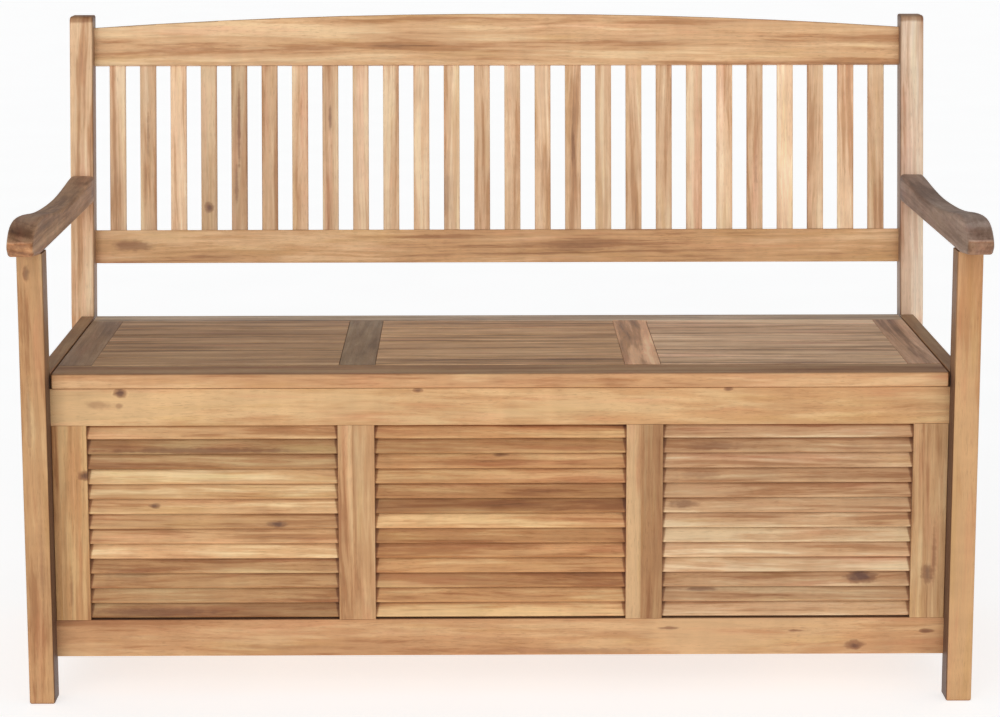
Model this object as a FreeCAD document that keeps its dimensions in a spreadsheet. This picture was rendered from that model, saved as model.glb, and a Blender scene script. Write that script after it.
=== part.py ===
import FreeCAD, Part
import ast
import math
import os
import re
import Sketcher

# Garden storage bench: a box with a lift-up slatted seat, louvred panels,
# a raked slatted back with an arched top rail, and two shaped arms.
# Frame of the part: +X to the sitter's left-to-right width, +Y towards the
# back, +Z up; the origin is on the ground, at the middle of the footprint.

V = FreeCAD.Vector
R = FreeCAD.Rotation
P = FreeCAD.Placement

os.makedirs("parts", exist_ok=True)
doc = FreeCAD.newDocument("storage_bench")
sheet = doc.addObject("Spreadsheet::Sheet", "Sheet")

DIMS = [
    # overall
    ("overall_w", 1290.0), ("yshift", -268.72),
    # legs
    ("leg_w", 35.0), ("fleg_dep", 42.0), ("fleg_top", 622.0), ("leg_round", 3.5),
    ("bleg_y", 510.0), ("bleg_dep", 38.0), ("bleg_top", 900.0), ("rake_deg", 8.7),
    ("leg_top_round", 8.0),
    # seat and lid
    ("seat_z", 453.0), ("lid_t", 20.0), ("lid_front", 30.0), ("lid_rear", 515.0),
    ("lid_gap", 2.5), ("lid_frail_w", 68.0), ("lid_brail_w", 51.0),
    ("lid_stile_w", 46.5), ("lid_cross_w", 50.0), ("lid_cross_x", 196.5),
    ("lid_round", 3.0), ("board_n", 6.0), ("board_gap", 1.0),
    ("board_round", 1.6), ("tongue_t", 7.0), ("tongue_l", 8.0),
    # box panels
    ("panel_t", 20.0), ("panel_recess", 35.0), ("panel_bot", 57.5),
    ("rail_hgt", 51.5), ("open_hgt", 272.0), ("side_x", 630.0),
    ("stile_w", 47.5), ("mid_w", 50.0), ("mid_x", 196.5), ("rail_round", 1.2),
    ("louvre_n", 13.0), ("louvre_t", 7.0), ("louvre_wid", 25.5),
    ("louvre_tilt", 24.0), ("louvre_round", 2.2), ("slot_dep", 7.5),
    ("louvre_in", 9.8), ("louvre_pitch", 20.9), ("louvre_first", 13.6),
    # backrest
    ("back_rec", 20.0), ("back_t", 18.0), ("slat_w", 24.0), ("slat_t", 12.0),
    ("slat_n", 26.0), ("slat_round", 2.0), ("low_s0", 80.6), ("low_s1", 130.6),
    ("top_s0", 379.9), ("top_s1", 457.5), ("top_end", 437.0), ("let_in", 8.0),
    # joints of the frame
    ("tenon_t", 10.0), ("tenon_l", 15.0),
    # arms
    ("arm_round", 5.0),
    # floor of the box
    ("floor_slat_w", 64.0), ("floor_slat_t", 12.0), ("floor_n", 8.0),
    ("bearer_w", 22.0), ("bearer_hgt", 30.0),
    # hinges and fasteners
    ("hinge_len", 75.0), ("leaf_t", 2.0), ("pin_rad", 2.0), ("knuckle_rad", 4.0),
    ("pin_clear", 0.05), ("bolt_rad", 3.0), ("nut_rad", 5.0), ("dowel_rad", 5.0),
    ("cleat_w", 28.0), ("screw_rad", 2.0),
]
D = {}
for i, (nm, val) in enumerate(DIMS):
    row = i + 1
    sheet.set("A%d" % row, nm)
    sheet.set("B%d" % row, repr(val))
    sheet.setAlias("B%d" % row, nm)
    D[nm] = val
doc.recompute()
for nm, _ in DIMS:
    D[nm] = float(sheet.get(nm))

W2 = D["overall_w"] / 2.0
YS = D["yshift"]
SEAT = D["seat_z"]
XI = W2 - D["leg_w"]                      # inner faces of the legs
PT = D["panel_bot"] + 2 * D["rail_hgt"] + D["open_hgt"]   # top of the panels
TH = math.radians(D["rake_deg"])
NODES = []


def plane(body, role):
    for f in body.Origin.OriginFeatures:
        if f.Role == role:
            return f
    raise RuntimeError(role)


def S(expr):
    """Turn bare aliases into sheet references."""
    return re.sub(r"\b([a-z][a-z_]*[a-z0-9_]*)\b",
                  lambda m: "Sheet." + m.group(1) if m.group(1) in D else m.group(1), str(expr))


def new_body(label):
    b = doc.addObject("PartDesign::Body", "B_" + label)
    b.Label = label
    try:
        b.AllowCompound = True
    except Exception:
        pass
    NODES.append(b)
    return b


def sketch(body, name, role, off=None):
    sk = body.newObject("Sketcher::SketchObject", name)
    sk.AttachmentSupport = [(plane(body, role), "")]
    sk.MapMode = "FlatFace"
    if off is not None:
        sk.AttachmentOffset = off
    return sk


def ln(a, b):
    return Part.LineSegment(V(a[0], a[1], 0), V(b[0], b[1], 0))


def rrect(sk, we, he, re_, wv, hv, rv):
    """Rounded rectangle centred on the sketch origin, sizes bound to the sheet."""
    a, b = wv / 2.0, hv / 2.0
    q = math.pi / 2

    def arc(cx, cy, s):
        c = Part.Circle(V(cx, cy, 0), V(0, 0, 1), rv)
        return Part.ArcOfCircle(c, s, s + q)
    g = [ln((-a + rv, -b), (a - rv, -b)), arc(a - rv, -b + rv, -q),
         ln((a, -b + rv), (a, b - rv)), arc(a - rv, b - rv, 0),
         ln((a - rv, b), (-a + rv, b)), arc(-a + rv, b - rv, q),
         ln((-a, b - rv), (-a, -b + rv)), arc(-a + rv, -b + rv, 2 * q)]
    sk.addGeometry(g, False)
    C = Sketcher.Constraint
    for i in range(8):
        sk.addConstraint(C("Tangent", i, 2, (i + 1) % 8, 1))
    sk.addConstraint([C("Horizontal", 0), C("Vertical", 2), C("Horizontal", 4), C("Vertical", 6),
                      C("Equal", 1, 3), C("Equal", 1, 5), C("Equal", 1, 7),
                      C("Symmetric", 1, 3, 5, 3, -1, 1)])
    kw = sk.addConstraint(C("Distance", 2, 1, 6, wv))
    kh = sk.addConstraint(C("Distance", 0, 1, 4, hv))
    kr = sk.addConstraint(C("Radius", 1, rv))
    for k, nm, ex in ((kw, "wid", we), (kh, "hgt", he), (kr, "corner", re_)):
        sk.renameConstraint(k, nm)
        sk.setExpression("Constraints." + nm, S(ex))


def val(expr):
    """Work out a size expression with the sheet's own numbers."""
    def num(n):
        if isinstance(n, ast.Constant):
            return float(n.value)
        if isinstance(n, ast.Name):
            return D[n.id]
        if isinstance(n, ast.UnaryOp):
            return -num(n.operand)
        a, b = num(n.left), num(n.right)
        if isinstance(n.op, ast.Add):
            return a + b
        if isinstance(n.op, ast.Sub):
            return a - b
        if isinstance(n.op, ast.Mult):
            return a * b
        return a / b
    return num(ast.parse(str(expr)).body[0].value)


ROLE = {"X": "YZ_Plane", "Y": "XZ_Plane", "Z": "XY_Plane"}
AXR = {"X": "X_Axis", "Y": "Y_Axis", "Z": "Z_Axis"}


def bar(label, axis, we, he, le, re_, tilt=0.0, body=None, start=0.0):
    """A stick: rounded section centred on the axis, run from 0 to length.
    Section directions: X bar -> (y, z); Y bar -> (x, z); Z bar -> (x, y)."""
    b = body or new_body(label)
    off = None
    if tilt or start:
        off = P(V(0, 0, start if axis != "Y" else -start), R(V(0, 0, 1), tilt))
    sk = sketch(b, "Sk_" + label, ROLE[axis], off)
    rrect(sk, we, he, re_, val(we), val(he), val(re_))
    pad = b.newObject("PartDesign::Pad", "Pad_" + label)
    pad.Profile = sk
    pad.setExpression("Length", S(le))
    pad.Length = val(le)
    if axis == "Y":
        pad.Reversed = True
    b.Tip = pad
    return b, pad


def add_box(b, name, x, y, z, lx, ly, lz, sub=False, rot=None):
    """A tenon (or, with sub, a mortise) as a box feature of the body."""
    f = b.newObject("PartDesign::SubtractiveBox" if sub else "PartDesign::AdditiveBox", name)
    for prop, ex in (("Length", lx), ("Width", ly), ("Height", lz)):
        setattr(f, prop, val(ex))
        f.setExpression(prop, S(ex))
    f.Placement = P(V(x, y, z), rot or R())
    b.Tip = f
    return f


def pattern(b, name, feats, axis, step_e, n_e, reverse=False):
    n = int(round(val(n_e)))
    lp = b.newObject("PartDesign::LinearPattern", name)
    lp.Originals = feats
    lp.Direction = (plane(b, AXR[axis]), [""])
    lp.Occurrences = n
    lp.setExpression("Occurrences", S(n_e))
    total = "(%s) * (%s - 1)" % (step_e, n_e)
    lp.Length = val(total)
    lp.setExpression("Length", S(total))
    lp.Reversed = reverse
    b.Tip = lp
    return lp


def fillet(b, pad, rad_e, fn):
    """Round the edges of the current tip that fn picks (bounding box given)."""
    doc.recompute()
    base = b.Tip
    names = []
    for i, e in enumerate(base.Shape.Edges):
        if fn(e.BoundBox, e):
            names.append("Edge%d" % (i + 1))
    if not names:
        raise RuntimeError("no edges picked on " + b.Label)
    f = b.newObject("PartDesign::Fillet", "Fil_" + b.Label)
    f.Base = (base, names)
    f.Radius = val(rad_e)
    f.setExpression("Radius", S(rad_e))
    b.Tip = f
    return f


def drill(b, name, x, y, z, axis, rad_e, len_e):
    """A drilled hole starting at x,y,z and running along +axis (X, Y, Z, -X...)."""
    f = b.newObject("PartDesign::SubtractiveCylinder", name)
    f.Radius = val(rad_e)
    f.setExpression("Radius", S(rad_e))
    f.Height = val(len_e)
    f.setExpression("Height", S(len_e))
    rot = {"X": R(V(0, 1, 0), 90), "-X": R(V(0, 1, 0), -90), "Y": R(V(1, 0, 0), -90),
           "-Y": R(V(1, 0, 0), 90), "Z": R(), "-Z": R(V(1, 0, 0), 180)}[axis]
    f.Placement = P(V(x, y, z), rot)
    b.Tip = f
    return f


def near(a, b, tol=0.01):
    return abs(a - b) < tol


# ---------------------------------------------------------------- the panels
# A panel is made in its own frame: x along it (middle at 0), y = 0 at its
# outer face and +y into the box, z from the ground.  It is then placed.
T = D["panel_t"]
BOT = D["panel_bot"]
RH = D["rail_hgt"]
OP = D["open_hgt"]
PITCH = D["louvre_pitch"]
Z1 = D["louvre_first"]
TILT = D["louvre_tilt"]


def louvre_slot_y():
    return D["louvre_in"]


def panel(prefix, half, stiles, fields, pl, top_h_e, end_tenon, bolt_x=()):
    """stiles: list of (name, centre x, width expr, slot sides)
    fields: list of (name, x0, x1) for the louvre groups."""
    top_h = val(top_h_e)
    # rails
    for nm, z0, he in (("bottom_rail", BOT, "rail_hgt"), ("top_rail", BOT + RH + OP, top_h_e)):
        h_ = val(he)
        b, pad = bar(prefix + "_" + nm, "X", "panel_t", he, repr(2 * half), "rail_round")
        # the bar's origin is the section centre at its left end
        if end_tenon:
            add_box(b, "Ten_" + b.Label, -D["tenon_l"], -D["tenon_t"] / 2, -h_ / 2 + 8,
                    "%r + 2 * tenon_l" % (2 * half), "tenon_t", "%s - 16" % he)
        for k, (snm, cx, we, sides) in enumerate(stiles):
            w_ = val(we)
            zz = (h_ / 2 - D["tenon_l"]) if nm == "bottom_rail" else -h_ / 2
            add_box(b, "Mo%d_%s" % (k, b.Label), half + cx - w_ / 2 + 8, -D["tenon_t"] / 2, zz,
                    "%s - 16" % we, "tenon_t", "tenon_l", sub=True)
        if nm == "top_rail":
            # grooves below for the upper edges of the topmost louvres
            rot = R(V(1, 0, 0), -TILT)
            corner = rot.multVec(V(0, -D["louvre_t"] / 2, -D["louvre_wid"] / 2))
            ztop = Z1 + PITCH * (D["louvre_n"] - 1) - OP - h_ / 2
            for fnm, xa, xb in fields:
                add_box(b, "Gv_%s_%s" % (fnm, b.Label), half + xa - D["slot_dep"],
                        D["louvre_in"] - T / 2 + corner.y, ztop + corner.z,
                        "%r + 2 * slot_dep" % (xb - xa), "louvre_t", "louvre_wid", sub=True, rot=rot)
        b.Placement = pl.multiply(P(V(-half, T / 2, z0 + h_ / 2), R()))
    # stiles, between the rails, with stub tenons
    for snm, cx, we, sides in stiles:
        w_ = val(we)
        b, pad = bar(prefix + "_" + snm, "Z", we, "panel_t", "open_hgt", "rail_round")
        add_box(b, "Ten_" + b.Label, -w_ / 2 + 8, -D["tenon_t"] / 2, -D["tenon_l"],
                "%s - 16" % we, "tenon_t", "open_hgt + 2 * tenon_l")
        feats = []
        rot = R(V(1, 0, 0), -TILT)
        lw, lt = D["louvre_wid"], D["louvre_t"]
        for sd in sides:
            x0 = (w_ / 2 - D["slot_dep"]) if sd > 0 else -w_ / 2 - 1.0
            # slot centre of the lowest louvre
            yc, zc = louvre_slot_y() - T / 2, Z1
            corner = rot.multVec(V(0, -lt / 2, -lw / 2))
            f = add_box(b, "Slot%s_%s" % ("R" if sd > 0 else "L", b.Label),
                        x0, yc + corner.y, zc + corner.z,
                        "slot_dep + 1", "louvre_t", "louvre_wid", sub=True, rot=rot)
            feats.append(f)
        if feats:
            pattern(b, "Slots_" + b.Label, feats, "Z", "louvre_pitch", "louvre_n")
        b.Placement = pl.multiply(P(V(cx, T / 2, BOT + RH), R()))
    # louvres: slanted shingle-like blades housed in the slots
    for fnm, x0, x1 in fields:
        L = (x1 - x0) + 2 * D["slot_dep"]
        b, pad = bar(prefix + "_" + fnm, "X", "louvre_t", "louvre_wid", repr(L), "louvre_round",
                     tilt=-TILT)
        pattern(b, "Row_" + b.Label, [pad], "Z", "louvre_pitch", "louvre_n")
        b.Placement = pl.multiply(P(V(x0 - D["slot_dep"], louvre_slot_y(), BOT + RH + Z1), R()))


ES = D["stile_w"]
MX = D["mid_x"]
MW = D["mid_w"]
end_c = XI - ES / 2
long_stiles = [("stile_left", -end_c, "stile_w", (1,)), ("mid_stile_left", -MX, "mid_w", (-1, 1)),
               ("mid_stile_right", MX, "mid_w", (-1, 1)), ("stile_right", end_c, "stile_w", (-1,))]
long_fields = [("louvres_left", -XI + ES, -MX - MW / 2), ("louvres_centre", -MX + MW / 2, MX - MW / 2),
               ("louvres_right", MX + MW / 2, XI - ES)]
front_pl = P(V(0, D["panel_recess"] + YS, 0), R())
rear_pl = P(V(0, D["lid_rear"] + YS, 0), R(V(0, 0, 1), 180))
panel("front", XI, long_stiles, long_fields, front_pl, "rail_hgt", False)
# seen from behind, the rear panel's own left is the bench's right
panel("rear", XI, long_stiles, long_fields, rear_pl, "rail_hgt", False)

side_half = (D["bleg_y"] - D["fleg_dep"]) / 2.0
side_mid = (D["bleg_y"] + D["fleg_dep"]) / 2.0 + YS
se = side_half - ES / 2
side_top = "seat_z - panel_bot - rail_hgt - open_hgt"
for sd, nm in ((-1, "left_side"), (1, "right_side")):
    pl = P(V(sd * D["side_x"], side_mid, 0), R(V(0, 0, 1), 90.0 * sd))
    fr, bk = (("front_stile", "rear_stile") if sd > 0 else ("rear_stile", "front_stile"))
    panel(nm, side_half, [(fr, -se, "stile_w", (1,)), (bk, se, "stile_w", (-1,))],
          [("louvres", -side_half + ES, side_half - ES)], pl, side_top, True)

# ---------------------------------------------------------------- the legs
TL, TT = D["tenon_l"], D["tenon_t"]
side_c = D["side_x"] - T / 2          # middle of the side panels' thickness


def side_mortises(b, xc, y0, y1_dir, x_off, y_off):
    """mortises for the two side rails; y0 is where they start, y1_dir +1/-1."""
    for k, (z0, he) in enumerate(((BOT, "rail_hgt"), (BOT + RH + OP, side_top))):
        ys = y0 if y1_dir > 0 else y0 - TL
        add_box(b, "Mo%d_%s" % (k, b.Label), xc - TT / 2 - x_off, ys - y_off, z0 + 8,
                "tenon_t", "tenon_l", "%s - 16" % he, sub=True)


for sd, nm in ((-1, "left"), (1, "right")):
    xc = sd * (W2 - D["leg_w"] / 2)
    b, pad = bar("front_leg_" + nm, "Z", "leg_w", "fleg_dep", "fleg_top", "leg_round")
    fillet(b, pad, "leg_round - 1", lambda bb, e: bb.ZMax < 0.01)
    yc = D["fleg_dep"] / 2
    side_mortises(b, sd * side_c, D["fleg_dep"], -1, xc, yc)
    # dowel holes up into the arm
    for k, dy in enumerate((-9.0, 9.0)):
        drill(b, "Dow%d_%s" % (k, b.Label), 0, dy, D["fleg_top"] - 25, "Z", "dowel_rad - 1", "26")
    b.Placement = P(V(xc, yc + YS, 0), R())

# back legs: upright to the seat, raked above it
t = math.tan(TH)
BY, BD, BT = D["bleg_y"], D["bleg_dep"], D["bleg_top"]
zb = SEAT - BD * (1 / math.cos(TH) - 1) / t


def fline(z):
    return BY + max(0.0, z - SEAT) * t


for sd, nm in ((-1, "left"), (1, "right")):
    b = new_body("back_leg_" + nm)
    sk = sketch(b, "Sk_" + b.Label, "YZ_Plane")
    rr = D["leg_top_round"]
    phi = math.pi / 2 + TH
    tl = rr / math.tan(phi / 2)
    cx0, cz0 = fline(BT), BT
    ctr2 = (cx0 + tl, cz0 - rr)
    t1 = (cx0 - tl * math.sin(TH), cz0 - tl * math.cos(TH))
    dd = math.hypot(cx0 - ctr2[0], cz0 - ctr2[1])
    am = (ctr2[0] + rr * (cx0 - ctr2[0]) / dd, ctr2[1] + rr * (cz0 - ctr2[1]) / dd)
    pts = [(BY, 0), (BY + BD, 0), (BY + BD, zb), (fline(BT) + BD / math.cos(TH), BT),
           (cx0 + tl, BT), t1, (BY, SEAT)]
    sk.addGeometry([ln(pts[0], pts[1]), ln(pts[1], pts[2]), ln(pts[2], pts[3]), ln(pts[3], pts[4]),
                    Part.Arc(V(pts[4][0], pts[4][1], 0), V(am[0], am[1], 0), V(t1[0], t1[1], 0)),
                    ln(pts[5], pts[6]), ln(pts[6], pts[0])], False)
    C = Sketcher.Constraint
    ga = sk.Geometry[4]
    a_top = 1 if ga.StartPoint.y > ga.EndPoint.y else 2
    for i, j in ((0, 1), (1, 2), (2, 3), (5, 6), (6, 0)):
        sk.addConstraint(C("Coincident", i, 2, j, 1))
    sk.addConstraint([C("Tangent", 3, 2, 4, a_top), C("Tangent", 4, 3 - a_top, 5, 1)])
    sk.addConstraint([C("Horizontal", 0), C("Vertical", 1), C("Horizontal", 3), C("Vertical", 6),
                      C("Parallel", 2, 5), C("PointOnObject", 0, 1, -1)])
    for k, nm2, ex in (
            (sk.addConstraint(C("DistanceX", -1, 1, 0, 1, BY)), "fy", "bleg_y"),
            (sk.addConstraint(C("DistanceX", 0, 1, 0, 2, BD)), "dep", "bleg_dep"),
            (sk.addConstraint(C("DistanceY", 6, 2, 6, 1, SEAT)), "seat", "seat_z"),
            (sk.addConstraint(C("DistanceY", 0, 1, 3, 1, BT)), "top", "bleg_top"),
            (sk.addConstraint(C("Radius", 4, rr)), "corner", "leg_top_round"),
            (sk.addConstraint(C("Angle", 6, 1, 5, 2, math.pi - TH)), "rake", "180 - rake_deg"),
            (sk.addConstraint(C("Distance", 2, 1, 5, BD)), "dep2", "bleg_dep")):
        sk.renameConstraint(k, nm2)
        if nm2 != "rake":
            sk.setExpression("Constraints." + nm2, S(ex))
    pad = b.newObject("PartDesign::Pad", "Pad_" + b.Label)
    pad.Profile = sk
    pad.Length = D["leg_w"]
    pad.setExpression("Length", S("leg_w"))
    b.Tip = pad
    fillet(b, pad, "leg_round", lambda bb, e: near(bb.XMin, bb.XMax))
    x0 = -W2 if sd < 0 else XI
    side_mortises(b, sd * side_c, BY, 1, x0, 0)
    b.Placement = P(V(x0, YS, 0), R())
BLEG = {b.Label: b for b in NODES if b.Label.startswith("back_leg")}

# ---------------------------------------------------------------- the backrest
# frame of the raked back: origin on the legs' front faces at seat height
BACK = P(V(0, BY + YS, SEAT), R(V(1, 0, 0), -D["rake_deg"]))
REC, BTK = D["back_rec"], D["back_t"]

# lower rail
b, pad = bar("back_lower_rail", "X", "back_t", "low_s1 - low_s0", "overall_w - 2 * leg_w", "rail_round")
add_box(b, "Ten_low", -TL, -TT / 2, -17.0, "overall_w - 2 * leg_w + 2 * tenon_l", "tenon_t", "34")
GAP = (2 * XI - D["slat_n"] * D["slat_w"]) / (D["slat_n"] + 1)
gap_e = "(overall_w - 2 * leg_w - slat_n * slat_w) / (slat_n + 1)"
step_e = "slat_w + " + gap_e
lowh = D["low_s1"] - D["low_s0"]
m = add_box(b, "Mort_low", GAP, -D["slat_t"] / 2, lowh / 2 - D["let_in"], "slat_w", "slat_t", "let_in + 1", sub=True)
pattern(b, "Morts_low", [m], "X", step_e, "slat_n")
b.Placement = BACK.multiply(P(V(-XI, REC + BTK / 2, (D["low_s0"] + D["low_s1"]) / 2), R()))

# arched top rail: straight below, a shallow arch above
b = new_body("back_top_rail")
sk = sketch(b, "Sk_top", "XZ_Plane")
s0, s1, se_ = D["top_s0"], D["top_s1"], D["top_end"]
sk.addGeometry([ln((-XI, s0), (XI, s0)), ln((XI, s0), (XI, se_)),
                Part.Arc(V(XI, se_, 0), V(0, s1, 0), V(-XI, se_, 0)), ln((-XI, se_), (-XI, s0))], False)
C = Sketcher.Constraint
g2 = sk.Geometry[2]
e_right = 1 if g2.StartPoint.x > 0 else 2
e_left = 3 - e_right
sk.addConstraint([C("Coincident", 0, 2, 1, 1), C("Coincident", 1, 2, 2, e_right),
                  C("Coincident", 2, e_left, 3, 1), C("Coincident", 3, 2, 0, 1),
                  C("Vertical", 1), C("Vertical", 3), C("Equal", 1, 3),
                  C("Symmetric", 0, 1, 0, 2, -2)])
sag = s1 - se_
arc_r = (XI * XI + sag * sag) / (2 * sag)
for k, nm2, ex in ((sk.addConstraint(C("DistanceX", 0, 1, 0, 2, 2 * XI)), "wid", "overall_w - 2 * leg_w"),
                   (sk.addConstraint(C("DistanceY", 1, 1, 1, 2, se_ - s0)), "ends", "top_end - top_s0"),
                   (sk.addConstraint(C("DistanceY", -1, 1, 0, 1, s0)), "low", "top_s0"),
                   (sk.addConstraint(C("Radius", 2, arc_r)), "arch",
                    "((overall_w / 2 - leg_w)^2 + (top_s1 - top_end)^2) / (2 * (top_s1 - top_end))")):
    sk.renameConstraint(k, nm2)
    sk.setExpression("Constraints." + nm2, S(ex))
pad = b.newObject("PartDesign::Pad", "Pad_top")
pad.Profile = sk
pad.Length = BTK
pad.setExpression("Length", S("back_t"))
pad.Reversed = True
b.Tip = pad
fillet(b, pad, "rail_round + 1", lambda bb, e: bb.XLength > 100 and bb.ZMax > se_ + 1)
add_box(b, "Ten_top", -XI - TL, (BTK - TT) / 2, s0 + 10, "overall_w - 2 * leg_w + 2 * tenon_l", "tenon_t", "38")
m = add_box(b, "Mort_top", -XI + GAP, (BTK - D["slat_t"]) / 2, s0 - 1, "slat_w", "slat_t", "let_in + 1", sub=True)
pattern(b, "Morts_top", [m], "X", step_e, "slat_n")
b.Placement = BACK.multiply(P(V(0, REC, 0), R()))

# 26 upright slats let into both rails
b, pad = bar("back_slats", "Z", "slat_w", "slat_t", "top_s0 - low_s1 + 2 * let_in", "slat_round")
pattern(b, "Row_slats", [pad], "X", step_e, "slat_n")
b.Placement = BACK.multiply(P(V(-XI + GAP + D["slat_w"] / 2, REC + BTK / 2, D["low_s1"] - D["let_in"]), R()))

# mortises in the back legs for the two back rails, cut in the raked frame
for sd, nm in ((-1, "left"), (1, "right")):
    lb = BLEG["back_leg_" + nm]
    x0 = -W2 if sd < 0 else XI
    for k, (sa, hh) in enumerate(((D["low_s0"] + lowh / 2 - 17.0, "34"), (s0 + 10, "38"))):
        loc = P(V(0, BY, SEAT), R(V(1, 0, 0), -D["rake_deg"])).multiply(
            P(V((XI - x0) if sd > 0 else (-XI - TL - x0), REC + (BTK - TT) / 2, sa), R()))
        f = add_box(lb, "MoB%d_%s" % (k, nm), 0, 0, 0, "tenon_l", "tenon_t", hh, sub=True)
        f.Placement = loc

# ---------------------------------------------------------------- the arms
ARM = [(500, 660.8), (455, 657.8), (410, 655.2), (365, 653.4), (315, 652.9), (255, 653.8),
       (175, 656.9), (120, 661.0), (60, 667.2), (15, 670.6), (-20, 671.0), (-44, 667.8),
       (-61, 661.3), (-72.5, 652.5), (-79, 642.0)]
ARM_Z = D["fleg_top"]
for sd, nm in ((-1, "left"), (1, "right")):
    b = new_body("arm_" + nm)
    sk = sketch(b, "Sk_" + b.Label, "YZ_Plane")
    za = 662.5
    rear_top = (fline(za), za)
    rear_bot = (fline(ARM_Z), ARM_Z)
    bs = Part.BSplineCurve()
    bs.interpolate([V(rear_top[0], rear_top[1], 0)] + [V(p[0], p[1], 0) for p in ARM] + [V(-77.5, 635.5, 0)])
    sk.addGeometry([bs, ln((-77.5, 635.5), (-70.0, 628.0)), ln((-70.0, 628.0), (-8.0, ARM_Z)),
                    ln((-8.0, ARM_Z), rear_bot), ln(rear_bot, rear_top)], False)
    C = Sketcher.Constraint
    sk.addConstraint([C("Coincident", 0, 2, 1, 1), C("Coincident", 1, 2, 2, 1), C("Coincident", 2, 2, 3, 1),
                      C("Coincident", 3, 2, 4, 1), C("Coincident", 4, 2, 0, 1), C("Block", 0)])
    pad = b.newObject("PartDesign::Pad", "Pad_" + b.Label)
    pad.Profile = sk
    pad.Length = D["leg_w"]
    pad.setExpression("Length", S("leg_w"))
    b.Tip = pad
    fillet(b, pad, "arm_round", lambda bb, e: near(bb.XMin, bb.XMax) and not (bb.ZLength > 30 and bb.YLength < 20))
    for k, dy in enumerate((-9.0, 9.0)):
        drill(b, "Dow%d_%s" % (k, b.Label), D["leg_w"] / 2, D["fleg_dep"] / 2 + dy, ARM_Z - 1, "Z", "dowel_rad - 1", "21")
    b.Placement = P(V(-W2 if sd < 0 else XI, YS, 0), R())

doc.recompute()
ARMB = {b.Label: b for b in NODES if b.Label.startswith("arm_")}

# ---------------------------------------------------------------- the lid
LW = XI - D["lid_gap"]                     # half width
LT = D["lid_t"]
LZ = SEAT - LT / 2
FY0, FY1 = D["lid_front"], D["lid_front"] + D["lid_frail_w"]
BY1 = D["lid_rear"]
BY0 = BY1 - D["lid_brail_w"]
SW, CW, CX = D["lid_stile_w"], D["lid_cross_w"], D["lid_cross_x"]
bays = [("left", -LW + SW, -CX - CW / 2), ("centre", -CX + CW / 2, CX - CW / 2), ("right", CX + CW / 2, LW - SW)]
uprights = [("lid_end_stile_left", -LW + SW / 2, "lid_stile_w", (1,)),
            ("lid_cross_rail_left", -CX, "lid_cross_w", (-1, 1)),
            ("lid_cross_rail_right", CX, "lid_cross_w", (-1, 1)),
            ("lid_end_stile_right", LW - SW / 2, "lid_stile_w", (-1,))]
for nm, ya, yb, we, my in (("lid_front_rail", FY0, FY1, "lid_frail_w", 1), ("lid_back_rail", BY0, BY1, "lid_brail_w", -1)):
    b, pad = bar(nm, "X", we, "lid_t", "overall_w - 2 * leg_w - 2 * lid_gap", "lid_round")
    fillet(b, pad, "lid_round - 1", lambda bb, e: near(bb.XMin, bb.XMax))
    w_ = val(we)
    for k, (un, cx, ue, sides) in enumerate(uprights):
        uw = val(ue)
        y0 = w_ / 2 - TL if my > 0 else -w_ / 2
        add_box(b, "Mo%d_%s" % (k, nm), LW + cx - uw / 2 + 8, y0, -4.0, "%s - 16" % ue, "tenon_l", "8", sub=True)
    b.Placement = P(V(-LW, (ya + yb) / 2 + YS, LZ), R())
in_len = BY0 - FY1
in_e = "lid_rear - lid_brail_w - lid_front - lid_frail_w"
for un, cx, ue, sides in uprights:
    uw = val(ue)
    b, pad = bar(un, "Y", ue, "lid_t", in_e, "board_round")
    add_box(b, "Ten_" + un, -uw / 2 + 8, -TL, -4.0, "%s - 16" % ue, in_e + " + 2 * tenon_l", "8")
    for sd in sides:
        x0 = (uw / 2 - D["tongue_l"]) if sd > 0 else -uw / 2
        add_box(b, "Gr%s_%s" % ("R" if sd > 0 else "L", un), x0, 0.0, -D["tongue_t"] / 2,
                "tongue_l", in_e, "tongue_t", sub=True)
    b.Placement = P(V(cx, FY1 + YS, LZ), R())
# boards: six to a bay, tongued at both ends into the frame
nb = int(D["board_n"])
bw_e = "(%s - board_gap * (board_n + 1)) / board_n" % in_e
bw = val(bw_e)
for nm, xa, xb in bays:
    b, pad = bar("lid_boards_" + nm, "X", bw_e, "lid_t - 2", repr(xb - xa - 0.6), "board_round")
    bstep = "(%s - board_gap) / board_n" % in_e
    pattern(b, "Row_" + b.Label, [pad], "Y", bstep, "board_n")
    tg = add_box(b, "Tg_" + b.Label, -(D["tongue_l"] - 0.5) , -bw / 2, -D["tongue_t"] / 2 - 1.0 + 1.0,
                 "%r + 2 * tongue_l - 1" % (xb - xa), bw_e, "tongue_t")
    tg.Placement = P(V(-D["tongue_l"] + 0.2, -bw / 2, -D["tongue_t"] / 2 - 1.0), R())
    pattern(b, "Row2_" + b.Label, [tg], "Y", bstep, "board_n")
    b.Placement = P(V(xa + 0.3, FY1 + YS + D["board_gap"] + bw / 2, LZ + 1.0), R())

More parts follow.
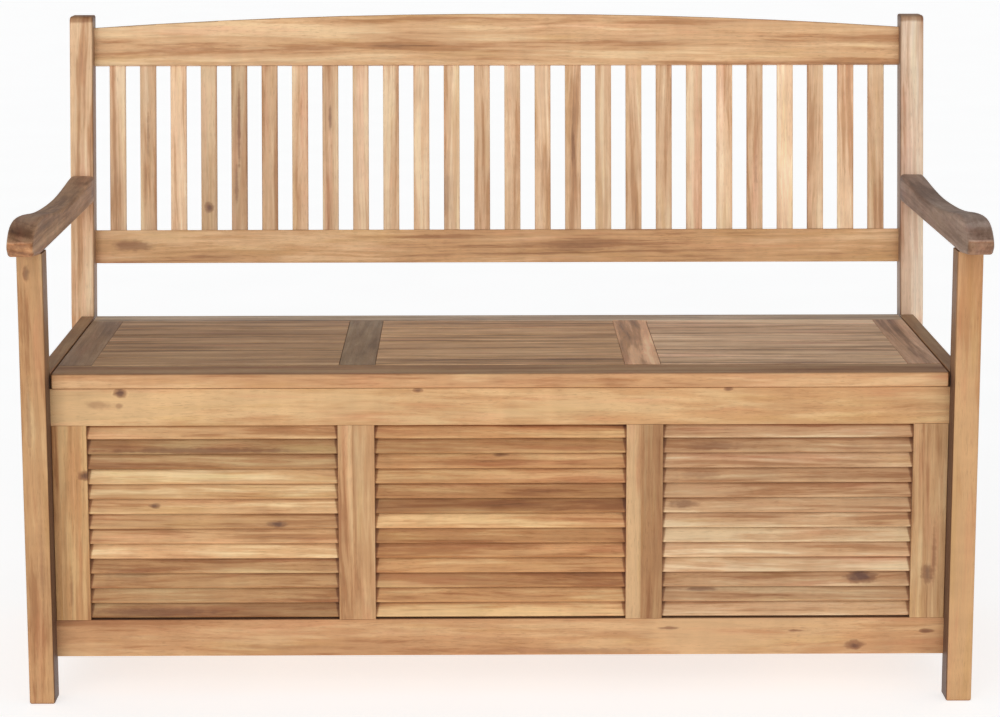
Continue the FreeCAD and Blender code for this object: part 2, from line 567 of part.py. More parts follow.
# ---------------------------------------------------------------- the box floor
# corner cleats tie the long panels to the sides; bearers carry the floor slats
CL = D["cleat_w"]
in_x = D["side_x"] - T                       # inner face of the sides
in_y0 = D["panel_recess"] + T                # inner face of the front panel
in_y1 = D["lid_rear"] - T                    # inner face of the rear panel
b = new_body("corner_cleats")
pads = []
cleat_h = "panel_bot + 2 * rail_hgt + open_hgt - panel_bot - 40"
sk = sketch(b, "Sk_cleats", "XY_Plane")
rrect(sk, "cleat_w", "cleat_w", "rail_round", CL, CL, D["rail_round"])
pad = b.newObject("PartDesign::Pad", "Pad_cleats")
pad.Profile = sk
pad.Length = val(cleat_h)
pad.setExpression("Length", S(cleat_h))
b.Tip = pad
mt = b.newObject("PartDesign::MultiTransform", "Cleats")
mt.Originals = [pad]
a1 = b.newObject("PartDesign::LinearPattern", "Cl_a")
a1.Direction = (plane(b, "X_Axis"), [""])
a1.Length = 2 * (in_x - CL / 2)
a1.Occurrences = 2
a2 = b.newObject("PartDesign::LinearPattern", "Cl_b")
a2.Direction = (plane(b, "Y_Axis"), [""])
a2.Length = in_y1 - in_y0 - CL
a2.Occurrences = 2
mt.Transformations = [a1, a2]
b.Tip = mt
b.Placement = P(V(-in_x + CL / 2, in_y0 + CL / 2 + YS, BOT + 20), R())

# floor bearers run along the front and rear panels, between the cleats
b, pad = bar("floor_bearers", "X", "bearer_w", "bearer_hgt", repr(2 * (in_x - CL)), "rail_round")
pattern(b, "Pair_bearers", [pad], "Y", repr(in_y1 - in_y0 - D["bearer_w"]), "2")
b.Placement = P(V(-(in_x - CL), in_y0 + D["bearer_w"] / 2 + YS, BOT + D["bearer_hgt"] / 2), R())
# floor slats run from front to rear on the bearers
fl_n = 16
fl_w = D["floor_slat_w"]
fl_span = 2 * (in_x - CL) - 4
fl_step = (fl_span - fl_w) / (fl_n - 1)
b, pad = bar("floor_slats", "Y", "floor_slat_w", "floor_slat_t", repr(in_y1 - in_y0 - 4), "rail_round")
pattern(b, "Row_floor", [pad], "X", repr(fl_step), repr(float(fl_n)))
b.Placement = P(V(-fl_span / 2 + fl_w / 2, in_y0 + 2 + YS, BOT + D["bearer_hgt"] + D["floor_slat_t"] / 2), R())

# ---------------------------------------------------------------- the hinges
# Butt hinges screwed on the rear faces of the lid and of the rear panel; the
# pin runs along X just behind them, level with the underside of the lid.
KR, LFT, PR = D["knuckle_rad"], D["leaf_t"], D["pin_rad"]
HY = D["lid_rear"] + KR                       # pin axis
HZ = SEAT - LT                                # level with the lid's underside
HL = D["hinge_len"]
HX = (-430.0, 0.0, 430.0)


def cyl(x0, x1, y, z, r):
    return Part.makeCylinder(r, x1 - x0, V(x0, y, z), V(1, 0, 0))


def leaf_shape(xc, up):
    """one leaf with its share of the five knuckles"""
    x0 = xc - HL / 2
    kn = HL / 5.0
    hgt = 17.0 if up else 24.0
    z0 = HZ + 0.6 if up else HZ - 0.6 - hgt
    bore = PR + D["pin_clear"]
    s = Part.makeBox(HL, LFT, hgt, V(x0, HY - KR, z0))
    take = (1, 3) if up else (0, 2, 4)
    for i in range(5):
        a, bnd = x0 + i * kn, x0 + (i + 1) * kn
        if i in take:
            g = 0.15
            s = s.fuse(cyl(a + g, bnd - g, HY, HZ, KR))
            if up:
                s = s.fuse(Part.makeBox(kn - 2 * g, LFT, 1.0, V(a + g, HY - KR, HZ - 0.2)))
            else:
                s = s.fuse(Part.makeBox(kn - 2 * g, LFT, 1.0, V(a + g, HY - KR, HZ - 0.8)))
    for i in range(5):
        a, bnd = x0 + i * kn, x0 + (i + 1) * kn
        if i not in take:
            # clearance round the other leaf's knuckles
            s = s.cut(cyl(a - 0.15, bnd + 0.15, HY, HZ, KR + 0.35))
    s = s.cut(cyl(x0 - 1, x0 + HL + 1, HY, HZ, bore))
    # countersunk screw holes
    zc = HZ + 10.0 if up else HZ - 14.0
    for dx in (-26.0, 0.0, 26.0):
        s = s.cut(Part.makeCylinder(D["screw_rad"], 10, V(xc + dx, HY - KR - 1, zc), V(0, 1, 0)))
        s = s.cut(Part.makeCone(D["screw_rad"], D["screw_rad"] + 2.0, LFT, V(xc + dx, HY - KR, zc), V(0, 1, 0)))
    return s.removeSplitter()


def screw_shape(x, y, z, dirv, length):
    """countersunk wood screw, head flush with y along dirv, pointing -dirv"""
    r = D["screw_rad"] - 0.02
    s = Part.makeCone(r + 2.0, r, LFT, V(x, y, z), V(*dirv) * -1.0)
    s = s.fuse(Part.makeCylinder(r, length - 4, V(x, y, z) + V(*dirv) * -(LFT - 0.01), V(*dirv) * -1.0))
    tip0 = V(x, y, z) + V(*dirv) * -(length - 4 + LFT - 0.02)
    s = s.fuse(Part.makeCone(r, 0.3, 4, tip0, V(*dirv) * -1.0))
    d = V(*dirv)
    up = V(0, 0, 1) if abs(d.z) < 0.5 else V(0, 1, 0)
    side = d.cross(up)
    for a, c in ((up, side), (side, up)):
        o = V(x, y, z) - a * 2.0 - c * 0.4 + d * 0.05
        q = Part.makePolygon([o, o + a * 4.0, o + a * 4.0 + c * 0.8, o + c * 0.8, o])
        s = s.cut(Part.Face(q).extrude(d * -1.05))
    return s


def feature(label, shapes):
    f = doc.addObject("Part::Feature", "F_" + label)
    f.Label = label
    f.Shape = shapes[0] if len(shapes) == 1 else Part.makeCompound(shapes)
    f.Placement = P(V(0, YS, 0), R())
    NODES.append(f)
    return f


feature("hinge_lid_leaves", [leaf_shape(x, True) for x in HX])
feature("hinge_box_leaves", [leaf_shape(x, False) for x in HX])
feature("hinge_pins", [cyl(x - HL / 2 - 0.8, x + HL / 2 + 0.8, HY, HZ, PR) for x in HX])
face_y = HY - KR + LFT
lid_scr = [(x + dx, face_y, HZ + 10.0) for x in HX for dx in (-26.0, 0.0, 26.0)]
box_scr = [(x + dx, face_y, HZ - 14.0) for x in HX for dx in (-26.0, 0.0, 26.0)]
feature("hinge_lid_screws", [screw_shape(a, b_, c, (0, 1, 0), 24.0) for a, b_, c in lid_scr])
feature("hinge_box_screws", [screw_shape(a, b_, c, (0, 1, 0), 18.0) for a, b_, c in box_scr])

# screws from the cleats into the panels: two rows on each cleat
cleat_scr = []
for sx in (-1, 1):
    for (yy, dy) in ((in_y0, -1), (in_y1, 1)):
        for z in (BOT + 29, PT - 30, BOT + RH + OP / 2):
            cleat_scr.append((sx * (in_x - CL), yy - dy * CL / 2, z, (-sx, 0, 0)))
        for z in (BOT + 60, PT - 60):
            cleat_scr.append((sx * (in_x - CL / 2), yy - dy * CL, z, (0, -dy, 0)))
feature("cleat_screws", [screw_shape(a, b_, c, d_, 38.0) for a, b_, c, d_ in cleat_scr])
# dowels between the front legs and the arms
dow = []
for sd in (-1, 1):
    for dy in (-9.0, 9.0):
        dow.append(Part.makeCylinder(D["dowel_rad"] - 1, 43, V(sd * (W2 - D["leg_w"] / 2), D["fleg_dep"] / 2 + dy, ARM_Z - 24), V(0, 0, 1)))
feature("arm_dowels", dow)
# furniture bolts: arms to back legs (from behind), back rails to back legs (from the sides)
arm_bolts, rail_bolts, nuts = [], [], []
BR, NR = D["bolt_rad"], D["nut_rad"]
zbolt = 640.0


def yrear(z):
    return BY + BD / math.cos(TH) + (z - SEAT) * t


for sd in (-1, 1):
    xc = sd * (W2 - D["leg_w"] / 2)
    yr = yrear(zbolt)
    head_y = yr - 7.0
    bolt = Part.makeCylinder(BR, 68, V(xc, head_y - 67.9, zbolt), V(0, 1, 0))
    head = Part.makeCylinder(7.0, 4.0, V(xc, head_y, zbolt), V(0, 1, 0))
    hexs = []
    for i in range(7):
        a = math.pi / 3 * i
        hexs.append(V(xc + 2.3 * math.cos(a), head_y + 4.0, zbolt + 2.3 * math.sin(a)))
    head = head.cut(Part.Face(Part.makePolygon(hexs)).extrude(V(0, -2.5, 0)))
    arm_bolts.append(bolt.fuse(head).removeSplitter())
    nuty = head_y - 55.0
    nut = Part.makeCylinder(NR, 13, V(xc, nuty, zbolt - 6.5), V(0, 0, 1)).cut(
        Part.makeCylinder(BR, 40, V(xc, nuty - 20, zbolt), V(0, 1, 0)))
    nuts.append(nut)
    lb = BLEG["back_leg_" + ("left" if sd < 0 else "right")]
    ab = ARMB["arm_" + ("left" if sd < 0 else "right")]
    drill(lb, "Bolt_" + lb.Label, D["leg_w"] / 2, head_y - 60, zbolt, "Y", "bolt_rad", "100")
    drill(lb, "Cbore_" + lb.Label, D["leg_w"] / 2, head_y, zbolt, "Y", "7", "30")
    drill(ab, "Bolt_" + ab.Label, D["leg_w"] / 2, head_y - 68, zbolt, "Y", "bolt_rad", "100")
    drill(ab, "Nut_" + ab.Label, D["leg_w"] / 2, nuty, ARM_Z - 1, "Z", "nut_rad", "%r" % (zbolt + 6.5 - ARM_Z + 1))
# back rails: one bolt through each leg into the end of each rail
rails = {b.Label: b for b in NODES if b.Label in ("back_lower_rail", "back_top_rail")}
DC = REC + BTK / 2
for lab, sa in (("back_lower_rail", (D["low_s0"] + D["low_s1"]) / 2), ("back_top_rail", s0 + 29.0)):
    rb = rails[lab]
    inv = rb.Placement.inverse()
    for sd in (-1, 1):
        # world points of the bolt line (without the y shift of the frame)
        ctr = BACK.multVec(V(sd * W2, DC, sa))
        inw = V(-sd, 0, 0)
        head0 = ctr + inw * 5.0
        bolt = Part.makeCylinder(BR, 66, head0, inw)
        head = Part.makeCylinder(7.0, 4.0, head0 - inw * 4.0, inw)
        hexs = []
        for i in range(7):
            a = math.pi / 3 * i
            hexs.append(head0 - inw * 4.0 + V(0, 2.3 * math.cos(a), 2.3 * math.sin(a)))
        head = head.cut(Part.Face(Part.makePolygon(hexs)).extrude(inw * 2.5))
        s_ = bolt.fuse(head).removeSplitter()
        s_.translate(V(0, -YS, 0))
        rail_bolts.append(s_)
        nutc = head0 + inw * 56.0
        yd = BACK.Rotation.multVec(V(0, 1, 0))
        nut = Part.makeCylinder(NR, 13, nutc - yd * 6.5, yd).cut(
            Part.makeCylinder(BR, 40, nutc + inw * -20, inw))
        nut.translate(V(0, -YS, 0))
        nuts.append(nut)
        lb = BLEG["back_leg_" + ("left" if sd < 0 else "right")]
        for nm2, org, ax, rad, ln_ in (("Rb", head0, inw, "bolt_rad", "66"), ("Rc", head0 - inw * 10.0, inw, "7", "10")):
            f = drill(lb, "%s_%s_%s" % (nm2, lab, lb.Label), 0, 0, 0, "X", rad, ln_)
            g = lb.Placement.inverse().multiply(P(org, R(V(0, 0, 1), ax)))
            f.Placement = g
        f = drill(rb, "Rb%d_%s" % (sd, lab), 0, 0, 0, "X", "bolt_rad", "66")
        f.Placement = inv.multiply(P(head0, R(V(0, 0, 1), inw)))
        # barrel-nut hole from the rear face, stopping short of the front face
        f = drill(rb, "Rn%d_%s" % (sd, lab), 0, 0, 0, "X", "nut_rad", "15.5")
        f.Placement = inv.multiply(P(nutc + yd * 9.0, R(V(0, 0, 1), yd * -1.0)))
feature("arm_bolts", arm_bolts)
feature("back_rail_bolts", rail_bolts)
feature("barrel_nuts", nuts)
# pilot holes for the hinge screws and cleat screws
lidb = [b for b in NODES if b.Label == "lid_back_rail"][0]
rtop = [b for b in NODES if b.Label == "rear_top_rail"][0]
for tgt, pts_, ln_ in ((lidb, lid_scr, "26.3"), (rtop, box_scr, "20.3")):
    for k, (a, yy, c) in enumerate(pts_):
        f = drill(tgt, "Pil%d_%s" % (k, tgt.Label), 0, 0, 0, "X", "screw_rad", ln_)
        f.Placement = tgt.Placement.inverse().multiply(P(V(a, yy + YS, c), R(V(0, 0, 1), V(0, -1, 0))))
byl = {b.Label: b for b in NODES}
for k, (a, yy, c, d_) in enumerate(cleat_scr):
    tg = ["corner_cleats"]
    if abs(d_[0]) > 0.5:
        side = "left_side" if a < 0 else "right_side"
        front = yy < 250
        if c > BOT + RH + 1 and c < BOT + RH + OP - 1:
            tg.append(side + ("_front_stile" if front else "_rear_stile"))
        else:
            tg.append(side + ("_bottom_rail" if c < 200 else "_top_rail"))
    else:
        front = yy < 250
        pre = "front" if front else "rear"
        left = (a < 0) == front
        if c > BOT + RH + 1 and c < BOT + RH + OP - 1:
            tg.append(pre + ("_stile_left" if left else "_stile_right"))
        else:
            tg.append(pre + ("_bottom_rail" if c < 200 else "_top_rail"))
    for nm2 in tg:
        tb = byl[nm2]
        f = drill(tb, "Cs%d_%s" % (k, nm2), 0, 0, 0, "X", "screw_rad", "40.3")
        f.Placement = tb.Placement.inverse().multiply(P(V(a, yy + YS, c), R(V(0, 0, 1), V(*d_) * -1.0)))
        if nm2 == "corner_cleats":
            co = tb.newObject("PartDesign::SubtractiveCone", "Cc%d" % k)
            co.Radius1 = D["screw_rad"] + 2.0
            co.Radius2 = D["screw_rad"]
            co.Height = LFT
            co.Placement = f.Placement
            tb.Tip = co

doc.recompute()
# ---------------------------------------------------------------- checks and export
bad = []
for o in doc.Objects:
    if "Invalid" in o.State or "Error" in o.State:
        bad.append("%s (%s): %s" % (o.Name, o.Label, o.State))
total = 0
for b in NODES:
    s_ = b.Shape
    if s_.isNull() or not s_.isValid() or s_.Volume <= 0:
        bad.append("shape of %s" % b.Label)
        continue
    n = len(s_.Solids)
    total += n
    print("%-28s solids %3d  volume %10.0f" % (b.Label, n, s_.Volume))
if bad:
    raise SystemExit("FAILED: " + "; ".join(bad))
box = FreeCAD.BoundBox()
for b in NODES:
    box.add(b.Shape.BoundBox)
    b.Shape.exportStep("parts/%s.step" % b.Label)
print("nodes", len(NODES), "solids", total)
print("bounds", [round(v, 3) for v in (box.XMin, box.XMax, box.YMin, box.YMax, box.ZMin, box.ZMax)])
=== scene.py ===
import bpy
import math
from mathutils import Matrix, Vector

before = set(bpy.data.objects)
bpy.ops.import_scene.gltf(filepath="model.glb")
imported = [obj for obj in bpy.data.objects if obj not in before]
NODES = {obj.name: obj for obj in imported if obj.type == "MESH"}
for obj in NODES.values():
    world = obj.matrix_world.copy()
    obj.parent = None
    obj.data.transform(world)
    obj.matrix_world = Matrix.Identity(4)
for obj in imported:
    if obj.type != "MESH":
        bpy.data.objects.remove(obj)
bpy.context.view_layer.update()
scene = bpy.context.scene

# ------------------------------------------------------------------ helpers
def lin(r, g, b):
    """sRGB 0-255 to a linear RGBA colour."""
    out = []
    for c in (r, g, b):
        c = c / 255.0
        out.append(c / 12.92 if c <= 0.04045 else ((c + 0.055) / 1.055) ** 2.4)
    return tuple(out) + (1.0,)


class Net:
    """Short names for building a node tree."""

    def __init__(self, tree):
        self.t = tree

    def new(self, kind, **props):
        n = self.t.nodes.new(kind)
        for k, v in props.items():
            setattr(n, k, v)
        return n

    def put(self, sock, v):
        if hasattr(v, "is_output"):
            self.t.links.new(v, sock)
        elif v is not None:
            sock.default_value = v

    def m(self, op, a, b=None, c=None, clamp=False):
        n = self.new("ShaderNodeMath", operation=op, use_clamp=clamp)
        for i, v in enumerate((a, b, c)):
            if v is not None:
                self.put(n.inputs[i], v)
        return n.outputs[0]

    def v(self, op, a, b=None, scale=None):
        n = self.new("ShaderNodeVectorMath", operation=op)
        self.put(n.inputs[0], a)
        if b is not None:
            self.put(n.inputs[1], b)
        if scale is not None:
            self.put(n.inputs["Scale"], scale)
        return n.outputs["Value"] if op in ("LENGTH", "DOT_PRODUCT", "DISTANCE") else n.outputs[0]

    def sep(self, a):
        n = self.new("ShaderNodeSeparateXYZ")
        self.put(n.inputs[0], a)
        return n.outputs[0], n.outputs[1], n.outputs[2]

    def comb(self, x, y, z):
        n = self.new("ShaderNodeCombineXYZ")
        for i, v in enumerate((x, y, z)):
            self.put(n.inputs[i], v)
        return n.outputs[0]

    def noise(self, vec, scale=1.0, detail=2.0, rough=0.5, dist=0.0, col=False):
        n = self.new("ShaderNodeTexNoise")
        self.put(n.inputs["Vector"], vec)
        n.inputs["Scale"].default_value = scale
        n.inputs["Detail"].default_value = detail
        n.inputs["Roughness"].default_value = rough
        n.inputs["Distortion"].default_value = dist
        return n.outputs["Color"] if col else n.outputs[0]

    def white(self, vec):
        n = self.new("ShaderNodeTexWhiteNoise", noise_dimensions="3D")
        self.put(n.inputs["Vector"], vec)
        return n.outputs["Color"]

    def step(self, x, lo, hi, a=0.0, b=1.0):
        n = self.new("ShaderNodeMapRange", interpolation_type="SMOOTHSTEP", clamp=True)
        self.put(n.inputs[0], x)
        for i, v in ((1, lo), (2, hi), (3, a), (4, b)):
            self.put(n.inputs[i], v)
        return n.outputs[0]

    def mix(self, f, a, b, blend="MIX"):
        n = self.new("ShaderNodeMix", data_type="RGBA", blend_type=blend)
        n.clamp_factor = True
        self.put(n.inputs[0], f)
        self.put(n.inputs[6], a)
        self.put(n.inputs[7], b)
        return n.outputs[2]


def group(name, ins, outs):
    g = bpy.data.node_groups.new(name, "ShaderNodeTree")
    for nm, kind, default in ins:
        s = g.interface.new_socket(nm, in_out="INPUT", socket_type=kind)
        if default is not None:
            s.default_value = default
    for nm, kind in outs:
        g.interface.new_socket(nm, in_out="OUTPUT", socket_type=kind)
    net = Net(g)
    gi = net.new("NodeGroupInput")
    go = net.new("NodeGroupOutput")
    return g, net, gi.outputs, go.inputs


# ------------------------------------------------------------------ the wood
def make_wood_group():
    """Solid wood. P is the place in the board in metres, x along the grain;
    Seed is a random vector of the board, so each board is cut from another
    part of a log.  Growth rings, heartwood streaks, knots, fibres, pores."""
    F, VV, CC = "NodeSocketFloat", "NodeSocketVector", "NodeSocketColor"
    g, n, I, O = group("wood", [
        ("P", VV, None), ("Seed", VV, None), ("Tone", F, 0.0), ("Streak", F, 0.0), ("Rings", F, 1.0),
        ("Knots", F, 1.0), ("Pith", F, 1.0), ("Light", CC, lin(236, 200, 152)), ("Honey", CC, lin(219, 172, 122)),
        ("Brown", CC, lin(183, 130, 84)), ("Dark", CC, lin(118, 76, 48)), ("Extra", F, 0.0)],
        [("Color", CC), ("Rough", F), ("Height", F)])
    P, Seed = I["P"], I["Seed"]
    sx, sy, sz = n.sep(Seed)
    q = n.v("ADD", P, n.v("MULTIPLY", Seed, (31.7, 17.3, 23.9)))
    # slow wander of the grain, and a smaller, quicker one
    w1 = n.v("MULTIPLY", n.v("SUBTRACT", n.noise(n.v("MULTIPLY", q, (1.5, 7.0, 7.0)), detail=2.0, col=True), (0.5, 0.5, 0.5)), (0.0, 0.030, 0.030))
    w2 = n.v("MULTIPLY", n.v("SUBTRACT", n.noise(n.v("MULTIPLY", q, (7.0, 34.0, 34.0)), detail=2.0, col=True), (0.5, 0.5, 0.5)), (0.0, 0.0045, 0.0045))
    pw = n.v("ADD", n.v("ADD", P, w1), w2)
    px, py, pz = n.sep(pw)
    qx, qy, qz = n.sep(q)
    # knots that come by chance
    vor = n.new("ShaderNodeTexVoronoi", feature="F1")
    n.put(vor.inputs["Vector"], n.v("MULTIPLY", n.v("ADD", q, w1), (2.6, 13.0, 13.0)))
    vor.inputs["Scale"].default_value = 1.0
    kd = vor.outputs["Distance"]
    kr, kg, kb = n.sep(vor.outputs["Color"])
    has = n.m("MULTIPLY", n.m("GREATER_THAN", kr, 0.83), I["Knots"])
    swirl = n.m("MULTIPLY", n.step(kd, 0.0, 0.42, 1.0, 0.0), has)
    swirl = n.m("MAXIMUM", swirl, n.m("MULTIPLY", I["Extra"], 0.85))
    # radius from the pith of the log
    yy = n.m("ADD", n.m("ADD", py, n.m("MULTIPLY", n.m("MULTIPLY_ADD", sy, 0.075, 0.030), I["Pith"])),
             n.m("MULTIPLY", n.m("SUBTRACT", sx, 0.5), n.m("MULTIPLY", px, 0.045)))
    zz = n.m("ADD", pz, n.m("MULTIPLY", n.m("SUBTRACT", sz, 0.5), 0.12))
    rad = n.m("SQRT", n.m("ADD", n.m("MULTIPLY", yy, yy), n.m("MULTIPLY", zz, zz)))
    rad = n.m("ADD", rad, n.m("MULTIPLY", swirl, 0.0085))
    ringf = n.m("MULTIPLY_ADD", rad, n.m("MULTIPLY_ADD", sz, 70.0, 140.0), n.m("MULTIPLY", sx, 9.0))
    fr = n.m("FRACT", ringf)
    late = n.m("MULTIPLY", n.step(fr, 0.25, 0.90), n.step(fr, 0.92, 1.0, 1.0, 0.0))
    amp = n.noise(n.comb(n.m("MULTIPLY", rad, 75.0), n.m("MULTIPLY", qx, 1.7), sx), detail=1.0)
    # heartwood bands follow the rings and change slowly along the board
    broad = n.noise(n.comb(n.m("MULTIPLY", qx, 1.55), n.m("MULTIPLY_ADD", rad, 46.0, n.m("MULTIPLY", sz, 40.0)), n.m("MULTIPLY", qz, 9.0)), detail=3.0, rough=0.55)
    med = n.noise(n.comb(n.m("MULTIPLY", qx, 4.5), n.m("MULTIPLY_ADD", rad, 210.0, n.m("MULTIPLY", sy, 40.0)), n.m("MULTIPLY", qz, 34.0)), detail=3.0, rough=0.6)
    fine = n.noise(n.v("MULTIPLY", n.v("ADD", q, w2), (16.0, 620.0, 620.0)), detail=3.0, rough=0.6)
    hair = n.noise(n.v("MULTIPLY", q, (60.0, 2600.0, 2600.0)), detail=1.0)
    mottle = n.noise(n.v("MULTIPLY", q, (5.0, 22.0, 22.0)), detail=2.0)
    hue = n.noise(n.v("MULTIPLY", n.v("ADD", q, (5.3, 1.1, 7.7)), (4.5, 48.0, 48.0)), detail=3.0, rough=0.6)
    figure = n.noise(n.v("MULTIPLY", q, (40.0, 15.0, 15.0)), detail=2.0)
    cloud = n.noise(n.v("MULTIPLY", n.v("ADD", pw, n.v("MULTIPLY", Seed, (9.1, 4.7, 6.3))), (7.5, 72.0, 72.0)), detail=4.0, rough=0.62)
    streaky = n.noise(n.v("MULTIPLY", n.v("ADD", pw, n.v("MULTIPLY", Seed, (3.3, 8.9, 2.1))), (9.0, 210.0, 210.0)), detail=3.0, rough=0.6)
    # colours
    b = n.m("ADD", n.m("ADD", broad, n.m("MULTIPLY", n.m("SUBTRACT", med, 0.5), 0.40)), n.m("MULTIPLY", I["Streak"], 0.10))
    b = n.m("ADD", b, n.m("MULTIPLY", n.m("SUBTRACT", cloud, 0.5), 0.62))
    b = n.m("ADD", b, n.m("MULTIPLY", n.m("SUBTRACT", streaky, 0.5), 0.30))
    b = n.m("ADD", b, n.m("MULTIPLY", n.m("SUBTRACT", sy, 0.5), 0.10))
    c = n.mix(n.step(b, 0.30, 0.50), I["Light"], I["Honey"])
    c = n.mix(n.step(b, 0.50, 0.68), c, I["Brown"])
    c = n.mix(n.step(b, 0.68, 0.90), c, I["Dark"])
    # pinkish and olive patches
    c = n.mix(n.step(hue, 0.52, 0.72, 0.0, 0.75), c, n.mix(1.0, c, (1.02, 0.88, 0.90, 1.0), "MULTIPLY"))
    c = n.mix(n.step(hue, 0.47, 0.30, 0.0, 0.6), c, n.mix(1.0, c, (0.95, 0.945, 0.82, 1.0), "MULTIPLY"))
    shade = n.m("MULTIPLY_ADD", n.m("SUBTRACT", mottle, 0.5), 0.26, 1.0)
    shade = n.m("MULTIPLY", shade, n.m("MULTIPLY_ADD", n.m("SUBTRACT", fine, 0.5), 0.24, 1.0))
    shade = n.m("MULTIPLY", shade, n.m("MULTIPLY_ADD", n.m("SUBTRACT", figure, 0.5), 0.22, 1.0))
    shade = n.m("MULTIPLY", shade, n.m("MULTIPLY_ADD", n.m("MULTIPLY", n.m("MULTIPLY", late, n.step(amp, 0.30, 0.75)), I["Rings"]), -0.09, 1.0))
    # pores: short dark dashes along the grain
    pore = n.noise(n.v("MULTIPLY", n.v("ADD", q, w2), (95.0, 1500.0, 1500.0)), detail=0.0)
    pmask = n.m("MULTIPLY", n.step(pore, 0.66, 0.74), n.step(mottle, 0.35, 0.60, 0.35, 1.0))
    shade = n.m("MULTIPLY", shade, n.m("MULTIPLY_ADD", pmask, -0.15, 1.0))
    shade = n.m("MULTIPLY", shade, n.m("MULTIPLY_ADD", n.m("SUBTRACT", hair, 0.5), 0.10, 1.0))
    sc = n.v("SCALE", c, scale=shade)
    sc = n.v("MULTIPLY", sc, n.comb(n.m("POWER", 1.50, I["Tone"]), n.m("POWER", 1.68, I["Tone"]), n.m("POWER", 1.92, I["Tone"])))
    # knots: brown halo, purple-brown heart with rings of its own
    kn = n.m("SUBTRACT", kd, n.m("MULTIPLY", n.m("SUBTRACT", mottle, 0.5), 0.05))
    halo = n.m("MULTIPLY", n.step(kn, 0.07, 0.24, 1.0, 0.0), has)
    core = n.m("MULTIPLY", n.step(kn, 0.035, 0.10, 1.0, 0.0), has)
    halo = n.m("MAXIMUM", halo, n.step(I["Extra"], 0.05, 0.62))
    core = n.m("MAXIMUM", core, n.step(I["Extra"], 0.58, 1.05))
    kc = n.mix(n.m("MULTIPLY", halo, 0.60), sc, n.mix(1.0, I["Dark"], (1.05, 0.92, 0.92, 1.0), "MULTIPLY"))
    kc = n.mix(n.m("MULTIPLY", core, n.m("MULTIPLY_ADD", fine, 0.5, 0.55)), kc, lin(104, 68, 58))
    n.put(O["Color"], kc)
    rough = n.m("ADD", 0.47, n.m("MULTIPLY", n.m("SUBTRACT", fine, 0.5), 0.30))
    rough = n.m("ADD", rough, n.m("MULTIPLY", pmask, 0.15), clamp=True)
    n.put(O["Rough"], rough)
    hgt = n.m("ADD", n.m("MULTIPLY", fine, 0.5), n.m("MULTIPLY", n.m("MULTIPLY", late, amp), 0.35))
    hgt = n.m("SUBTRACT", hgt, n.m("MULTIPLY", pmask, 0.9))
    hgt = n.m("SUBTRACT", hgt, n.m("MULTIPLY", core, 0.6))
    n.put(O["Height"], hgt)
    return g


def make_spot_group():
    """A knot or a dark fleck at a chosen place: 1 in its middle, 0 outside."""
    F, VV = "NodeSocketFloat", "NodeSocketVector"
    g, n, I, O = group("spot", [("P", VV, None), ("At", VV, None), ("Size", VV, None), ("Power", F, 1.0)],
                       [("Mask", F)])
    d = n.v("DIVIDE", n.v("SUBTRACT", I["P"], I["At"]), I["Size"])
    wob = n.noise(n.v("MULTIPLY", I["P"], (70.0, 70.0, 110.0)), detail=3.0)
    r = n.m("ADD", n.v("LENGTH", d), n.m("MULTIPLY", n.m("SUBTRACT", wob, 0.5), 0.95))
    n.put(O["Mask"], n.m("MULTIPLY", n.step(r, 0.15, 1.1, 1.0, 0.0), I["Power"]))
    return g


WOOD = make_wood_group()
SPOT = make_spot_group()

